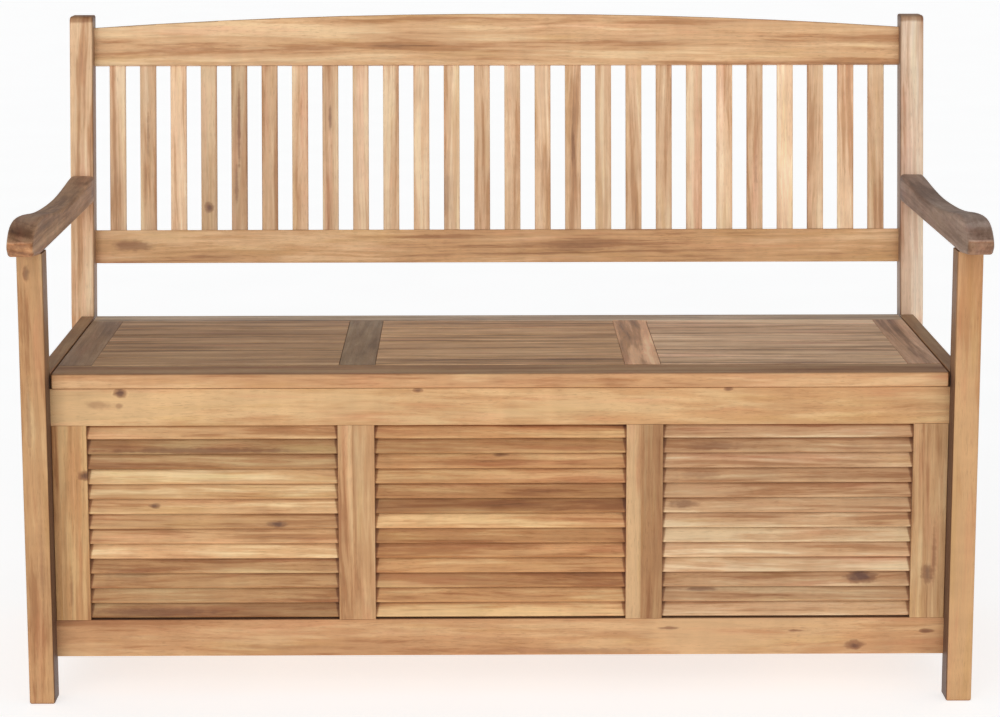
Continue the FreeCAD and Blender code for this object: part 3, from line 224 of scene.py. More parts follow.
# how much lighter or redder each piece is than its palette
GAIN = {
    "front_top_rail": (0.83, 0.76, 0.68),
    "front_bottom_rail": (0.78, 0.68, 0.62),
    "front_stile_left": (0.77, 0.68, 0.56),
    "front_mid_stile_left": (0.77, 0.71, 0.66),
    "front_mid_stile_right": (0.64, 0.56, 0.50),
    "front_stile_right": (0.80, 0.77, 0.73),
    "front_louvres_left": (0.87, 0.85, 0.75),
    "front_louvres_centre": (0.80, 0.70, 0.55),
    "front_louvres_right": (0.88, 0.90, 0.92),
    "front_leg_left": (0.77, 0.71, 0.64),
    "front_leg_right": (0.71, 0.59, 0.50),
    "back_leg_left": (1.11, 1.16, 1.18),
    "back_leg_right": (1.01, 1.12, 1.34),
    "back_top_rail": (1.04, 0.99, 0.88),
    "back_lower_rail": (1.16, 1.15, 1.13),
    "back_slats": (1.11, 1.15, 1.18),
    "arm_left": (1.28, 1.14, 0.93),
    "arm_right": (1.02, 1.07, 1.19),
    "lid_front_rail": (0.86, 0.77, 0.72),
    "lid_back_rail": (1.43, 1.72, 2.00),
    "lid_boards_left": (1.40, 1.37, 1.20),
    "lid_boards_centre": (1.69, 1.66, 1.46),
    "lid_boards_right": (2.00, 2.18, 2.27),
    "lid_end_stile_left": (0.92, 0.93, 0.93),
    "lid_cross_rail_left": (0.87, 0.95, 0.95),
    "lid_cross_rail_right": (2.60, 2.60, 2.60),
    "lid_end_stile_right": (1.61, 1.56, 1.61),
    "rear_top_rail": (0.80, 0.72, 0.65),
    "rear_bottom_rail": (0.80, 0.72, 0.65),
    "left_side_top_rail": (0.80, 0.72, 0.65),
    "left_side_bottom_rail": (0.80, 0.72, 0.65),
    "right_side_top_rail": (0.80, 0.72, 0.65),
    "right_side_bottom_rail": (0.80, 0.72, 0.65),
    "rear_stile_left": (0.75, 0.68, 0.61),
    "rear_mid_stile_left": (0.75, 0.68, 0.61),
    "rear_mid_stile_right": (0.75, 0.68, 0.61),
    "rear_stile_right": (0.75, 0.68, 0.61),
    "left_side_front_stile": (0.75, 0.68, 0.61),
    "left_side_rear_stile": (0.75, 0.68, 0.61),
    "right_side_front_stile": (0.75, 0.68, 0.61),
    "right_side_rear_stile": (0.75, 0.68, 0.61),
    "rear_louvres_left": (0.85, 0.82, 0.74),
    "rear_louvres_centre": (0.85, 0.82, 0.74),
    "rear_louvres_right": (0.85, 0.82, 0.74),
    "left_side_louvres": (0.85, 0.82, 0.74),
    "right_side_louvres": (0.85, 0.82, 0.74),
}

PAL = {   # Light, Honey, Brown, Dark
    "honey": (lin(240, 203, 154), lin(222, 176, 127), lin(190, 138, 92), lin(134, 88, 57)),
    "slat": (lin(240, 207, 168), lin(222, 180, 140), lin(192, 142, 101), lin(126, 86, 58)),
    "louvre": (lin(241, 206, 160), lin(216, 168, 122), lin(184, 130, 86), lin(120, 80, 54)),
    "rail": (lin(226, 186, 142), lin(205, 159, 113), lin(170, 122, 82), lin(122, 82, 56)),
    "arm": (lin(186, 158, 136), lin(160, 130, 108), lin(128, 98, 78), lin(90, 66, 52)),
    "lid": (lin(192, 160, 130), lin(167, 133, 104), lin(133, 101, 76), lin(92, 68, 52)),
    "inner": (lin(214, 178, 134), lin(196, 154, 110), lin(164, 120, 82), lin(116, 80, 56)),
}


def wood_mat(name, frame_fn, pal="honey", tone=0.0, streak=0.0, rings=1.0, knots=1.0, pith=1.0,
             spots=(), seed=0, weather=None, rough_add=0.0, tone_fn=None, bump=0.00028, gap_shade_amount=1.0,
             end=None, skin=None, deep=0.62):
    """frame_fn(net, x, y, z) gives (board coordinates, cell vector)."""
    m = bpy.data.materials.new(name)
    m.use_nodes = True
    t = m.node_tree
    t.nodes.clear()
    n = Net(t)
    tc = n.new("ShaderNodeTexCoord")
    pos = tc.outputs["Object"]
    x, y, z = n.sep(pos)
    P, cell = frame_fn(n, x, y, z)
    rnd = n.white(n.v("ADD", cell, (0.5 + seed * 1.0, 0.5 + (seed % 7) * 1.0, 0.5)))
    w = n.new("ShaderNodeGroup")
    w.node_tree = WOOD
    n.put(w.inputs["P"], P)
    n.put(w.inputs["Seed"], rnd)
    rx, ry, rz = n.sep(n.white(n.v("ADD", cell, (7.5 + seed * 1.0, 3.5, 11.5))))
    tv = tone
    if tone_fn is not None:
        tv = tone_fn(n, x, y, z, cell, rx)
    n.put(w.inputs["Tone"], tv)
    w.inputs["Streak"].default_value = streak
    w.inputs["Rings"].default_value = rings
    w.inputs["Knots"].default_value = knots
    w.inputs["Pith"].default_value = pith
    for k, c in zip(("Light", "Honey", "Brown", "Dark"), PAL[pal]):
        w.inputs[k].default_value = c
    mask = None
    for at, size, power in spots:
        s = n.new("ShaderNodeGroup")
        s.node_tree = SPOT
        n.put(s.inputs["P"], pos)
        s.inputs["At"].default_value = at
        s.inputs["Size"].default_value = size
        s.inputs["Power"].default_value = power
        mask = s.outputs[0] if mask is None else n.m("MAXIMUM", mask, s.outputs[0])
    if mask is not None:
        n.put(w.inputs["Extra"], mask)
    gain = GAIN.get(name[2:], (1.0, 1.0, 1.0))
    col = n.v("MULTIPLY", w.outputs["Color"], tuple(gain))
    rough = w.outputs["Rough"]
    nx, ny, nz = n.sep(tc.outputs["Normal"])
    if end is not None:
        # sawn ends take up more oil and go darker
        axis, tint = end
        ax = n.m("ABSOLUTE", {"x": nx, "y": ny, "z": nz}[axis])
        col = n.mix(n.step(ax, 0.55, 0.95), col, n.mix(1.0, col, tint, "MULTIPLY"))
    if skin is not None:
        col = skin(n, pos, x, y, z, nx, ny, nz, col)
    if weather is not None:
        # painted shade: upper faces are darkened and greyed, as they take less light than the front faces, and are made
        # a little rougher
        amount, tint = weather
        up = n.step(nz, 0.45, 0.92)
        blot = n.noise(n.v("MULTIPLY", pos, (5.0, 9.0, 9.0)), detail=4.0, rough=0.6)
        f = n.m("MULTIPLY", up, n.m("MULTIPLY_ADD", n.step(blot, 0.25, 0.75), 0.25 * amount, 0.80 * amount))
        col = n.mix(f, col, n.mix(1.0, col, tint, "MULTIPLY"))
        rough = n.m("ADD", rough, n.m("MULTIPLY", up, 0.10), clamp=True)
    # worn, paler arrises
    bev = n.new("ShaderNodeBevel", samples=4)
    bev.inputs["Radius"].default_value = 0.0016
    geo = n.new("ShaderNodeNewGeometry")
    edge = n.m("SUBTRACT", 1.0, n.v("DOT_PRODUCT", bev.outputs[0], geo.outputs["True Normal"]))
    edge = n.m("MULTIPLY", n.step(edge, 0.08, 0.28), n.step(n.noise(n.v("MULTIPLY", pos, (60.0, 60.0, 60.0)), detail=2.0), 0.35, 0.65, 0.25, 1.0))
    col = n.mix(n.m("MULTIPLY", edge, 0.30), col, n.mix(1.0, col, (1.30, 1.24, 1.16, 1.0), "MULTIPLY"))
    # painted shade: ambient occlusion darkens the colour in joints, gaps and corners, where shade falls
    ao = n.new("ShaderNodeAmbientOcclusion", samples=5)
    ao.inputs["Distance"].default_value = 0.022
    gap_shade_mask = n.m("MULTIPLY", n.step(ao.outputs["AO"], deep, 0.12), gap_shade_amount)
    col = n.mix(n.m("MULTIPLY", gap_shade_mask, 0.85), col, n.mix(1.0, col, (0.42, 0.27, 0.16, 1.0), "MULTIPLY"))
    bs = n.new("ShaderNodeBsdfPrincipled")
    n.put(bs.inputs["Base Color"], col)
    if rough_add:
        rough = n.m("ADD", rough, rough_add, clamp=True)
    n.put(bs.inputs["Roughness"], rough)
    bs.inputs["Specular IOR Level"].default_value = 0.32
    bs.inputs["Sheen Weight"].default_value = 0.04
    bp = n.new("ShaderNodeBump")
    bp.inputs["Strength"].default_value = 0.55
    bp.inputs["Distance"].default_value = bump
    n.put(bp.inputs["Height"], w.outputs["Height"])
    n.put(bs.inputs["Normal"], bp.outputs[0])
    out = n.new("ShaderNodeOutputMaterial")
    n.put(out.inputs[0], bs.outputs[0])
    return m


# ---- board frames: coordinates along and across each board, and its number
def along_x(split=None, oy=0.0, oz=0.0):
    def fn(n, x, y, z):
        cell = n.comb(0.0, 0.0, 0.0)
        return n.comb(x, n.m("SUBTRACT", y, oy), n.m("SUBTRACT", z, oz)), cell
    return fn


def along_y(ox=0.0, oz=0.0, sides=False):
    def fn(n, x, y, z):
        cell = n.comb(n.m("SIGN", x) if sides else 0.0, 0.0, 0.0)
        return n.comb(y, n.m("SUBTRACT", x, ox), n.m("SUBTRACT", z, oz)), cell
    return fn


def along_z(ox=0.0, oy=0.0, split=None):
    """split: where the board is edge-glued from strips (x positions)"""
    def fn(n, x, y, z):
        cx = 0.0
        for s in (split or ()):
            cx = n.m("ADD", n.m("GREATER_THAN", x, s), cx)
        return n.comb(z, n.m("SUBTRACT", x, ox), n.m("SUBTRACT", y, oy)), n.comb(cx, 0.0, 0.0)
    return fn


def along_z_y(ox, split):
    """A side stile: as along_z, with its glue lines at y positions."""
    def fn(n, x, y, z):
        cx = 0.0
        for s in split:
            cx = n.m("ADD", n.m("GREATER_THAN", y, s), cx)
        return n.comb(z, n.m("SUBTRACT", x, ox), y), n.comb(cx, 0.0, 0.0)
    return fn


TANR = math.tan(math.radians(8.7))


def raked(n, y, z):
    """y measured from the raked line of the backrest"""
    return n.m("SUBTRACT", y, n.m("MULTIPLY", n.m("MAXIMUM", n.m("SUBTRACT", z, 0.453), 0.0), TANR))


def back_z(ox=0.0, split=None):
    def fn(n, x, y, z):
        cx = 0.0
        for s in (split or ()):
            cx = n.m("ADD", n.m("GREATER_THAN", x, s), cx)
        return n.comb(z, n.m("SUBTRACT", x, ox), n.m("SUBTRACT", raked(n, y, z), 0.25)), n.comb(cx, 0.0, 0.0)
    return fn


def back_x(oz):
    def fn(n, x, y, z):
        return n.comb(x, n.m("SUBTRACT", z, oz), n.m("SUBTRACT", raked(n, y, z), 0.27)), n.comb(0.0, 0.0, 0.0)
    return fn


def slats():
    def fn(n, x, y, z):
        k = n.m("FLOOR", n.m("DIVIDE", n.m("ADD", x, 0.599), 0.04607))
        u = n.m("SUBTRACT", n.m("SUBTRACT", x, n.m("MULTIPLY", k, 0.04607)), -0.5759)
        return n.comb(z, u, n.m("SUBTRACT", raked(n, y, z), 0.27)), n.comb(k, 0.0, 0.0)
    return fn


CT, ST = math.cos(math.radians(24)), math.sin(math.radians(24))


def louvres(inward):
    """inward(n, x, y) is the distance into the box from the row's middle plane."""
    def fn(n, x, y, z):
        qi, along = inward(n, x, y)
        zz = n.m("SUBTRACT", z, 0.1226)
        d = n.m("SUBTRACT", n.m("MULTIPLY", qi, CT), n.m("MULTIPLY", zz, ST))
        k = n.m("FLOOR", n.m("MULTIPLY_ADD", d, -1.0 / (0.0209 * ST), 0.5))
        zk = n.m("SUBTRACT", zz, n.m("MULTIPLY", k, 0.0209))
        wid = n.m("ADD", n.m("MULTIPLY", qi, ST), n.m("MULTIPLY", zk, CT))
        thk = n.m("SUBTRACT", n.m("MULTIPLY", qi, CT), n.m("MULTIPLY", zk, ST))
        return n.comb(along, wid, thk), n.comb(k, 0.0, 0.0)
    return fn


def in_front(n, x, y):
    return n.m("ADD", y, 0.22392), x


def in_rear(n, x, y):
    return n.m("SUBTRACT", 0.23648, y), x


def in_left(n, x, y):
    return n.m("ADD", x, 0.6202), y


def in_right(n, x, y):
    return n.m("SUBTRACT", 0.6202, x), y


def lid_boards(n, x, y, z):
    k = n.m("FLOOR", n.m("DIVIDE", n.m("ADD", y, 0.17072), 0.061))
    v = n.m("SUBTRACT", n.m("ADD", y, 0.17072), n.m("MULTIPLY", k, 0.061))
    return n.comb(x, v, n.m("SUBTRACT", z, 0.443)), n.comb(k, 0.0, 0.0)


def floor_boards(n, x, y, z):
    k = n.m("FLOOR", n.m("DIVIDE", n.m("ADD", x, 0.5845), 0.07307))
    u = n.m("SUBTRACT", n.m("ADD", x, 0.5845), n.m("MULTIPLY", k, 0.07307))
    return n.comb(y, u, z), n.comb(k, 0.0, 0.0)


def corner_posts(n, x, y, z):
    return n.comb(z, x, y), n.comb(n.m("SIGN", x), n.m("SIGN", y), 0.0)


def bearers(n, x, y, z):
    return n.comb(x, y, z), n.comb(0.0, n.m("SIGN", y), 0.0)


def jitter(base, spread):
    """Each board a little lighter or darker than its neighbours."""
    def fn(n, x, y, z, cell, rnd):
        return n.m("MULTIPLY_ADD", n.m("SUBTRACT", rnd, 0.5), 2.0 * spread, base)
    return fn


def rows(table, base=0.0, spread=0.0):
    """As jitter, with some boards of the row chosen lighter or darker: {number: tone}."""
    def fn(n, x, y, z, cell, rnd):
        k = n.sep(cell)[0]
        out = n.m("MULTIPLY_ADD", n.m("SUBTRACT", rnd, 0.5), 2.0 * spread, base)
        for i, t in table.items():
            out = n.m("MULTIPLY_ADD", n.m("COMPARE", k, float(i), 0.4), t, out)
        return out
    return fn


def louvre_end_shadow(edges, across):
    """Painted shadow where the louvres enter the stiles: a dark wedge at each louvre end, wider towards its top."""
    def fn(n, pos, x, y, z, nx, ny, nz, col):
        a = x if across == "x" else y
        near = None
        for e in edges:
            d = n.m("ABSOLUTE", n.m("SUBTRACT", a, e))
            near = d if near is None else n.m("MINIMUM", near, d)
        wob = n.noise(n.v("MULTIPLY", pos, (300.0, 300.0, 120.0)), detail=1.0)
        near = n.m("ADD", near, n.m("MULTIPLY", n.m("SUBTRACT", wob, 0.5), 0.002))
        t = n.m("FRACT", n.m("DIVIDE", n.m("SUBTRACT", z, 0.0065), 0.0209))
        w = n.m("MULTIPLY_ADD", t, 0.0038, 0.0016)
        # painted shadow: the dark wedge at each louvre end
        f = n.m("MULTIPLY", n.step(n.m("SUBTRACT", near, w), 0.0012, -0.0012), 0.78)
        return n.mix(f, col, n.mix(1.0, col, (0.40, 0.25, 0.14, 1.0), "MULTIPLY"))
    return fn


def leg_inner_shade_and_dark_top(n, pos, x, y, z, nx, ny, nz, col):
    """Painted shade: faces that look into the seat are darkened, most of all below the seat; a band at the top of the
    back legs is darker too.
    """
    # painted shade on the faces that look into the seat
    inside = n.m("MULTIPLY", n.m("MULTIPLY", nx, n.m("SIGN", x)), -1.0)
    f = n.m("MULTIPLY", n.step(inside, 0.45, 0.85), n.step(z, 0.47, 0.44, 0.55, 0.95))
    col = n.mix(f, col, n.mix(1.0, col, (0.16, 0.10, 0.07, 1.0), "MULTIPLY"))
    wob = n.noise(n.v("MULTIPLY", pos, (90.0, 90.0, 30.0)), detail=2.0)
    top = n.step(n.m("ADD", z, n.m("MULTIPLY", wob, 0.004)), 0.8910, 0.8955, 0.0, 0.85)
    return n.mix(top, col, n.mix(1.0, col, (0.50, 0.38, 0.29, 1.0), "MULTIPLY"))


def arm_skin(n, pos, x, y, z, nx, ny, nz, col):
    """The arm's nose: bare end grain, dark above, a painted highlight line, honey below."""
    front = n.step(ny, -0.25, -0.75)
    blot = n.noise(n.v("MULTIPLY", pos, (75.0, 45.0, 60.0)), detail=3.0, rough=0.6)
    col = n.v("SCALE", col, scale=n.m("MULTIPLY_ADD", n.m("SUBTRACT", blot, 0.5), 0.55, 1.0))
    zz = n.m("ADD", z, n.m("MULTIPLY", n.m("SUBTRACT", blot, 0.5), 0.003))
    hi = n.m("MULTIPLY", front, n.step(zz, 0.6470, 0.6485))
    dark = n.m("MULTIPLY", hi, n.step(zz, 0.6500, 0.6620, 0.35, 1.0))
    col = n.mix(dark, col, n.mix(1.0, col, (0.42, 0.31, 0.22, 1.0), "MULTIPLY"))
    lo = n.m("MULTIPLY", front, n.step(zz, 0.6470, 0.6455))
    col = n.mix(n.m("MULTIPLY", lo, 0.9), col, n.mix(1.0, col, (0.98, 0.76, 0.56, 1.0), "MULTIPLY"))
    # painted highlight: a pale line across the front of the nose
    line = n.m("MULTIPLY", front, n.m("MULTIPLY", n.step(zz, 0.6445, 0.6462), n.step(zz, 0.6492, 0.6475)))
    return n.mix(n.m("MULTIPLY", line, 0.8), col, n.mix(1.0, col, (1.45, 1.35, 1.30, 1.0), "MULTIPLY"))


XE = (-0.5625, -0.2215, -0.1715, 0.1715, 0.2215, 0.5625)
# how strongly, and in which tint, the upper faces are darkened as painted shade
TOP_SHADE = (0.9, (0.62, 0.58, 0.56, 1.0))
MATS = {}


def give(node, mat):
    ob = NODES[node]
    for s in ob.material_slots:
        s.material = mat
    MATS[node] = mat


FYF = -0.23372       # front face of the front panel
def W(name, *a, **k):
    give(name, wood_mat("m_" + name, *a, **k))


# ---- front panel
W("front_top_rail", along_x(oz=0.40), "honey", seed=3, streak=-0.5, knots=0.0, rings=0.9, weather=TOP_SHADE,
  spots=[((-0.5163, FYF, 0.4265), (0.013, 0.08, 0.0085), 1.0), ((-0.542, FYF, 0.410), (0.034, 0.08, 0.010), 0.40),
         ((-0.517, FYF, 0.4085), (0.008, 0.08, 0.006), 0.45), ((-0.112, FYF, 0.4290), (0.010, 0.08, 0.0045), 0.85),
         ((0.309, FYF, 0.4300), (0.010, 0.08, 0.0040), 0.8), ((0.10, FYF, 0.398), (0.050, 0.08, 0.006), 0.22)])
W("front_bottom_rail", along_x(oz=0.08), "honey", seed=11, streak=-0.2, knots=0.0, weather=TOP_SHADE,
  spots=[((0.487, FYF, 0.070), (0.017, 0.08, 0.0095), 0.95), ((0.586, FYF, 0.090), (0.014, 0.08, 0.0040), 0.8),
         ((0.405, FYF, 0.091), (0.016, 0.08, 0.0030), 0.7), ((0.231, FYF, 0.095), (0.018, 0.08, 0.0030), 0.7),
         ((0.10, FYF, 0.064), (0.16, 0.08, 0.006), 0.38), ((-0.30, FYF, 0.070), (0.12, 0.08, 0.006), 0.30)])
W("front_stile_left", along_z(split=(-0.6005,)), "honey", seed=5, streak=0.1, knots=0.0,
  spots=[((-0.5655, FYF, 0.313), (0.016, 0.08, 0.009), 0.95), ((-0.588, FYF, 0.150), (0.004, 0.08, 0.050), 0.4)])
W("front_mid_stile_left", along_z(split=(-0.2019,)), "honey", seed=8, streak=0.0, knots=0.0)
W("front_mid_stile_right", along_z(split=(0.192,)), "honey", seed=14, streak=0.1, knots=0.0,
  tone_fn=lambda n, x, y, z, cell, rnd: n.step(x, 0.188, 0.194, 0.30, -0.45))
W("front_stile_right", along_z(split=(0.5700,)), "honey", seed=21, streak=0.2, knots=0.0,
  spots=[((0.586, FYF, 0.172), (0.012, 0.08, 0.018), 0.8), ((0.594, FYF, 0.20), (0.005, 0.08, 0.06), 0.5)])
LS = louvre_end_shadow(XE, "x")
W("front_louvres_left", louvres(in_front), "louvre", deep=0.80, seed=2, knots=0.3, skin=LS,
  tone_fn=rows({12: 0.4, 11: -1.0, 10: -0.5, 9: 0.5, 8: 0.3, 7: 0.5, 6: 0.2, 5: 0.5, 4: 0.6, 3: -0.4, 2: -0.1, 1: -0.3, 0: -0.9}),
  spots=[((-0.306, -0.232, 0.2425), (0.017, 0.08, 0.0065), 1.0), ((-0.473, -0.232, 0.268), (0.010, 0.08, 0.0050), 0.9),
         ((-0.40, -0.232, 0.3455), (0.20, 0.08, 0.0055), 0.62), ((-0.51, -0.232, 0.172), (0.06, 0.08, 0.018), 0.32),
         ((-0.47, -0.232, 0.119), (0.12, 0.08, 0.0080), 0.62)])
W("front_louvres_centre", louvres(in_front), "louvre", deep=0.80, seed=4, knots=0.3, skin=LS,
  tone_fn=rows({12: 0.2, 11: -0.5, 10: 0.2, 8: -0.4, 7: -0.7, 6: 0.5, 5: -0.2, 4: 0.4, 3: 0.4, 2: -0.3, 1: 0.2, 0: 0.4}),
  spots=[((0.000, -0.232, 0.338), (0.014, 0.08, 0.0045), 0.7), ((0.09, -0.232, 0.30), (0.05, 0.08, 0.0040), 0.35)])
W("front_louvres_right", louvres(in_front), "louvre", deep=0.80, seed=6, knots=0.3, skin=LS,
  tone_fn=rows({11: -0.3, 10: 0.2, 9: -0.2, 6: 0.1, 4: 0.4, 3: 0.2, 2: -0.2, 1: -0.4, 0: 0.3}),
  spots=[((0.4945, -0.232, 0.1655), (0.030, 0.08, 0.0115), 1.0), ((0.249, -0.232, 0.269), (0.030, 0.08, 0.0080), 0.6),
         ((0.271, -0.232, 0.148), (0.034, 0.08, 0.0035), 0.65), ((0.295, -0.232, 0.350), (0.07, 0.08, 0.0080), 0.40),
         ((0.270, -0.232, 0.310), (0.05, 0.08, 0.0080), 0.35)])
# ---- rear panel
W("rear_top_rail", along_x(oz=0.40), "honey", seed=31, streak=-0.2, knots=0.5, weather=TOP_SHADE)
W("rear_bottom_rail", along_x(oz=0.08), "honey", seed=33, knots=0.5, weather=TOP_SHADE)
for i, nm in enumerate(("rear_stile_left", "rear_mid_stile_left", "rear_mid_stile_right", "rear_stile_right")):
    W(nm, along_z(), "honey", seed=41 + i, knots=0.4)
for i, nm in enumerate(("rear_louvres_left", "rear_louvres_centre", "rear_louvres_right")):
    W(nm, louvres(in_rear), "louvre", deep=0.80, seed=51 + i, knots=0.6, tone_fn=jitter(0.0, 0.45), skin=LS)
# ---- side panels
SE = louvre_end_shadow((-0.1800, 0.1925), "y")
for i, sd in enumerate(("left_side", "right_side")):
    W(sd + "_top_rail", along_y(), "honey", seed=61 + i, streak=-0.1, knots=0.5, weather=(1.0, (0.55, 0.55, 0.57, 1.0)))
    W(sd + "_bottom_rail", along_y(), "honey", seed=65 + i, knots=0.5, weather=TOP_SHADE)
    W(sd + "_front_stile", along_z_y(0.0, (-0.203,)), "honey", seed=67 + i, knots=0.4)
    W(sd + "_rear_stile", along_z_y(0.0, (0.219,)), "honey", seed=71 + i, knots=0.4)
    W(sd + "_louvres", louvres(in_left if i == 0 else in_right), "louvre", deep=0.80, seed=73 + i, knots=0.6, tone_fn=jitter(0.0, 0.45))
# ---- legs
W("front_leg_left", along_z(ox=-0.63), "honey", seed=81, streak=0.15, knots=0.0, skin=leg_inner_shade_and_dark_top,
  spots=[((-0.632, -0.268, 0.596), (0.006, 0.08, 0.014), 0.75), ((-0.634, -0.268, 0.40), (0.005, 0.08, 0.09), 0.35),
         ((-0.622, -0.268, 0.20), (0.005, 0.08, 0.11), 0.35)])
W("front_leg_right", along_z(ox=0.63), "honey", seed=84, streak=-0.2, knots=0.0, skin=leg_inner_shade_and_dark_top)
W("back_leg_left", back_z(ox=-0.63), "slat", seed=87, streak=0.0, knots=0.0, weather=(1.0, (0.80, 0.76, 0.74, 1.0)), skin=leg_inner_shade_and_dark_top)
W("back_leg_right", back_z(ox=0.63), "slat", seed=90, streak=-0.4, knots=0.0, weather=(1.0, (0.80, 0.76, 0.74, 1.0)), skin=leg_inner_shade_and_dark_top)
# ---- backrest
W("back_top_rail", back_x(0.85), "slat", seed=93, streak=-0.2, knots=0.0, rings=1.2, weather=TOP_SHADE,
  spots=[((-0.41, 0.28, 0.855), (0.05, 0.09, 0.006), 0.25), ((0.22, 0.28, 0.86), (0.08, 0.09, 0.007), 0.25)])
W("back_lower_rail", back_x(0.55), "rail", seed=96, streak=0.1, knots=0.0, weather=TOP_SHADE,
  spots=[((-0.555, 0.27, 0.556), (0.045, 0.09, 0.013), 0.62), ((0.12, 0.27, 0.550), (0.09, 0.09, 0.006), 0.35)])
W("back_slats", slats(), "slat", seed=99, streak=-0.1, knots=0.3,
  tone_fn=rows({1: -0.2, 2: 0.3, 3: -0.4, 4: -0.7, 5: -0.4, 7: -0.2, 14: 0.2, 19: 0.1, 20: 0.2, 22: 0.4, 24: 0.3, 25: -0.1}, 0.0, 0.10),
  spots=[((-0.4375, 0.29, 0.613), (0.010, 0.09, 0.010), 0.95), ((-0.392, 0.30, 0.735), (0.0035, 0.09, 0.085), 0.75),
         ((-0.396, 0.30, 0.645), (0.004, 0.09, 0.045), 0.6), ((-0.2535, 0.30, 0.745), (0.0035, 0.09, 0.030), 0.75),
         ((-0.530, 0.30, 0.72), (0.0035, 0.09, 0.060), 0.4), ((0.115, 0.30, 0.70), (0.0035, 0.09, 0.050), 0.4),
         ((0.393, 0.30, 0.66), (0.0035, 0.09, 0.040), 0.4)])
# ---- arms
W("arm_left", along_y(ox=-0.63), "arm", seed=101, knots=0.0, weather=(0.8, (0.90, 0.90, 0.92, 1.0)), rough_add=0.03, skin=arm_skin)
W("arm_right", along_y(ox=0.63), "arm", seed=104, knots=0.0, weather=(0.8, (0.95, 0.95, 0.97, 1.0)), rough_add=0.03, skin=arm_skin)
# ---- lid
W("lid_front_rail", along_x(oz=0.443), "honey", seed=111, streak=-0.3, knots=0.0, weather=(1.0, (0.60, 0.60, 0.64, 1.0)))
W("lid_back_rail", along_x(oz=0.443), "lid", seed=114, knots=0.0)
for i, (nm, tn) in enumerate((("lid_boards_left", -0.05), ("lid_boards_centre", 0.0), ("lid_boards_right", 0.0))):
    W(nm, lid_boards, "lid", seed=117 + 3 * i, knots=0.4, tone_fn=jitter(tn, 0.16))
for i, nm in enumerate(("lid_end_stile_left", "lid_cross_rail_left", "lid_cross_rail_right", "lid_end_stile_right")):
    W(nm, along_y(), "lid", seed=131 + i, knots=0.2, tone=(-0.3, -0.25, -0.15, -0.1)[i])
# ---- inside
W("floor_slats", floor_boards, "inner", seed=141, knots=0.8, tone_fn=jitter(0.0, 0.2))
W("floor_bearers", bearers, "inner", seed=144)
W("corner_cleats", corner_posts, "inner", seed=147)
W("arm_dowels", along_z(), "inner", seed=150)


# ------------------------------------------------------------------ metal
def metal_mat(name, base, axis):
    m = bpy.data.materials.new(name)
    m.use_nodes = True
    t = m.node_tree
    t.nodes.clear()
    n = Net(t)
    tc = n.new("ShaderNodeTexCoord")
    pos = tc.outputs["Object"]
    st = {"X": (30.0, 2400.0, 2400.0), "N": (700.0, 700.0, 700.0)}[axis]
    brush = n.noise(n.v("MULTIPLY", pos, st), detail=3.0)
    cloud = n.noise(n.v("MULTIPLY", pos, (90.0, 90.0, 90.0)), detail=3.0)
    spang = n.noise(n.v("MULTIPLY", pos, (420.0, 420.0, 420.0)), detail=1.0)
    c = n.mix(n.step(cloud, 0.35, 0.7), base, n.mix(1.0, base, (0.78, 0.80, 0.84, 1.0), "MULTIPLY"))
    c = n.mix(n.step(spang, 0.60, 0.72, 0.0, 0.55), c, lin(150, 138, 120))
    c = n.v("SCALE", c, scale=n.m("MULTIPLY_ADD", n.m("SUBTRACT", brush, 0.5), 0.35, 1.0))
    # painted shade: the metal is darkened in its crevices by ambient occlusion
    ao = n.new("ShaderNodeAmbientOcclusion", samples=4)
    ao.inputs["Distance"].default_value = 0.004
    c = n.mix(n.step(ao.outputs["AO"], 0.6, 0.15, 0.0, 0.8), c, lin(62, 54, 47))
    bs = n.new("ShaderNodeBsdfPrincipled")
    n.put(bs.inputs["Base Color"], c)
    bs.inputs["Metallic"].default_value = 1.0
    r = n.m("MULTIPLY_ADD", brush, 0.22, 0.24)
    n.put(bs.inputs["Roughness"], n.m("ADD", r, n.step(spang, 0.60, 0.72, 0.0, 0.2), clamp=True))
    bp = n.new("ShaderNodeBump")
    bp.inputs["Strength"].default_value = 0.35
    bp.inputs["Distance"].default_value = 0.00008
    n.put(bp.inputs["Height"], brush)
    n.put(bs.inputs["Normal"], bp.outputs[0])
    out = n.new("ShaderNodeOutputMaterial")
    n.put(out.inputs[0], bs.outputs[0])
    return m


zinc = metal_mat("zinc_plate", lin(196, 196, 190), "X")
zinc2 = metal_mat("zinc_screw", lin(190, 186, 172), "N")
for nm in ("hinge_lid_leaves", "hinge_box_leaves", "hinge_pins"):
    give(nm, zinc)
for nm in ("hinge_lid_screws", "hinge_box_screws", "cleat_screws", "arm_bolts", "back_rail_bolts", "barrel_nuts"):
    give(nm, zinc2)

left = sorted(set(NODES) - set(MATS))
if left:
    raise SystemExit("no material for " + ", ".join(left))

# ------------------------------------------------------------------ the floor
me = bpy.data.meshes.new("floor")
R_ = 60.0
me.from_pydata([(-R_, -R_, 0), (R_, -R_, 0), (R_, R_, 0), (-R_, R_, 0)], [], [(0, 1, 2, 3)])
floor = bpy.data.objects.new("floor", me)
scene.collection.objects.link(floor)
floor.location.z = -0.0004
fm = bpy.data.materials.new("pale_floor")
fm.use_nodes = True
nt = fm.node_tree
nt.nodes.clear()
n = Net(nt)
tc = n.new("ShaderNodeTexCoord")
fn_ = n.noise(n.v("MULTIPLY", tc.outputs["Object"], (3.0, 3.0, 3.0)), detail=3.0)
bs = n.new("ShaderNodeBsdfPrincipled")
n.put(bs.inputs["Base Color"], n.mix(n.step(fn_, 0.3, 0.7), (0.60, 0.605, 0.61, 1.0), (0.62, 0.625, 0.63, 1.0)))
bs.inputs["Roughness"].default_value = 0.8
bs.inputs["Specular IOR Level"].default_value = 0.2
bs.inputs["Emission Color"].default_value = (1.0, 1.0, 1.0, 1.0)
bs.inputs["Emission Strength"].default_value = 0.665
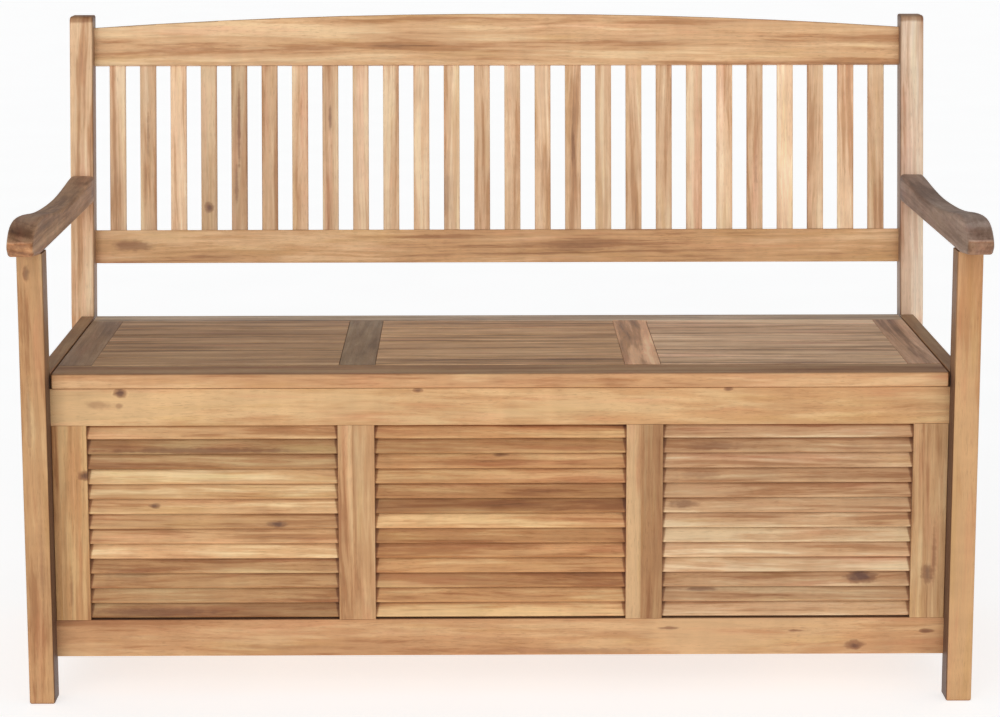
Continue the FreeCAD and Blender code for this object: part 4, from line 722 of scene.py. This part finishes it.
out = n.new("ShaderNodeOutputMaterial")
n.put(out.inputs[0], bs.outputs[0])
me.materials.append(fm)

# ------------------------------------------------------------------ light
world = bpy.data.worlds.new("studio")
scene.world = world
world.use_nodes = True
wt = world.node_tree
wt.nodes.clear()
n = Net(wt)
bg = n.new("ShaderNodeBackground")
bg.inputs["Color"].default_value = (1.0, 1.0, 1.0, 1.0)
bg.inputs["Strength"].default_value = 0.38
out = n.new("ShaderNodeOutputWorld")
n.put(out.inputs[0], bg.outputs[0])


def sun(name, az, el, strength, angle, colour=(1, 1, 1)):
    """A distant soft light that comes from azimuth az (0 is the front) and elevation el."""
    li = bpy.data.lights.new(name, "SUN")
    li.energy = strength
    li.angle = math.radians(angle)
    li.color = colour
    o = bpy.data.objects.new(name, li)
    scene.collection.objects.link(o)
    a, e = math.radians(az), math.radians(el)
    d = Vector((math.sin(a) * math.cos(e), -math.cos(a) * math.cos(e), math.sin(e)))
    o.rotation_mode = "QUATERNION"
    o.rotation_quaternion = d.to_track_quat("Z", "Y")
    return o


sun("key", -12, 16, 1.10, 50)
sun("fill", 25, 9, 0.30, 60)

# ------------------------------------------------------------------ camera
yaw, pitch, roll = 0.00817, 0.17898, -0.00119
fwd = Vector((math.sin(yaw) * math.cos(pitch), math.cos(yaw) * math.cos(pitch), -math.sin(pitch)))
right = Vector((math.cos(yaw), -math.sin(yaw), 0.0))
up = right.cross(fwd)
r2 = right * math.cos(roll) + up * math.sin(roll)
u2 = up * math.cos(roll) - right * math.sin(roll)
cam = bpy.data.cameras.new("camera")
cam.sensor_width = 36.0
cam.sensor_fit = "HORIZONTAL"
cam.lens = 2920.8 / 1000.0 * 36.0
cam.clip_end = 200.0
co = bpy.data.objects.new("camera", cam)
scene.collection.objects.link(co)
mt = Matrix.Identity(4)
for i in range(3):
    mt[i][0], mt[i][1], mt[i][2] = r2[i], u2[i], -fwd[i]
mt.translation = Vector((-0.03233, -4.12133, 1.17603))
co.matrix_world = mt
scene.camera = co
scene.view_settings.view_transform = "Standard"
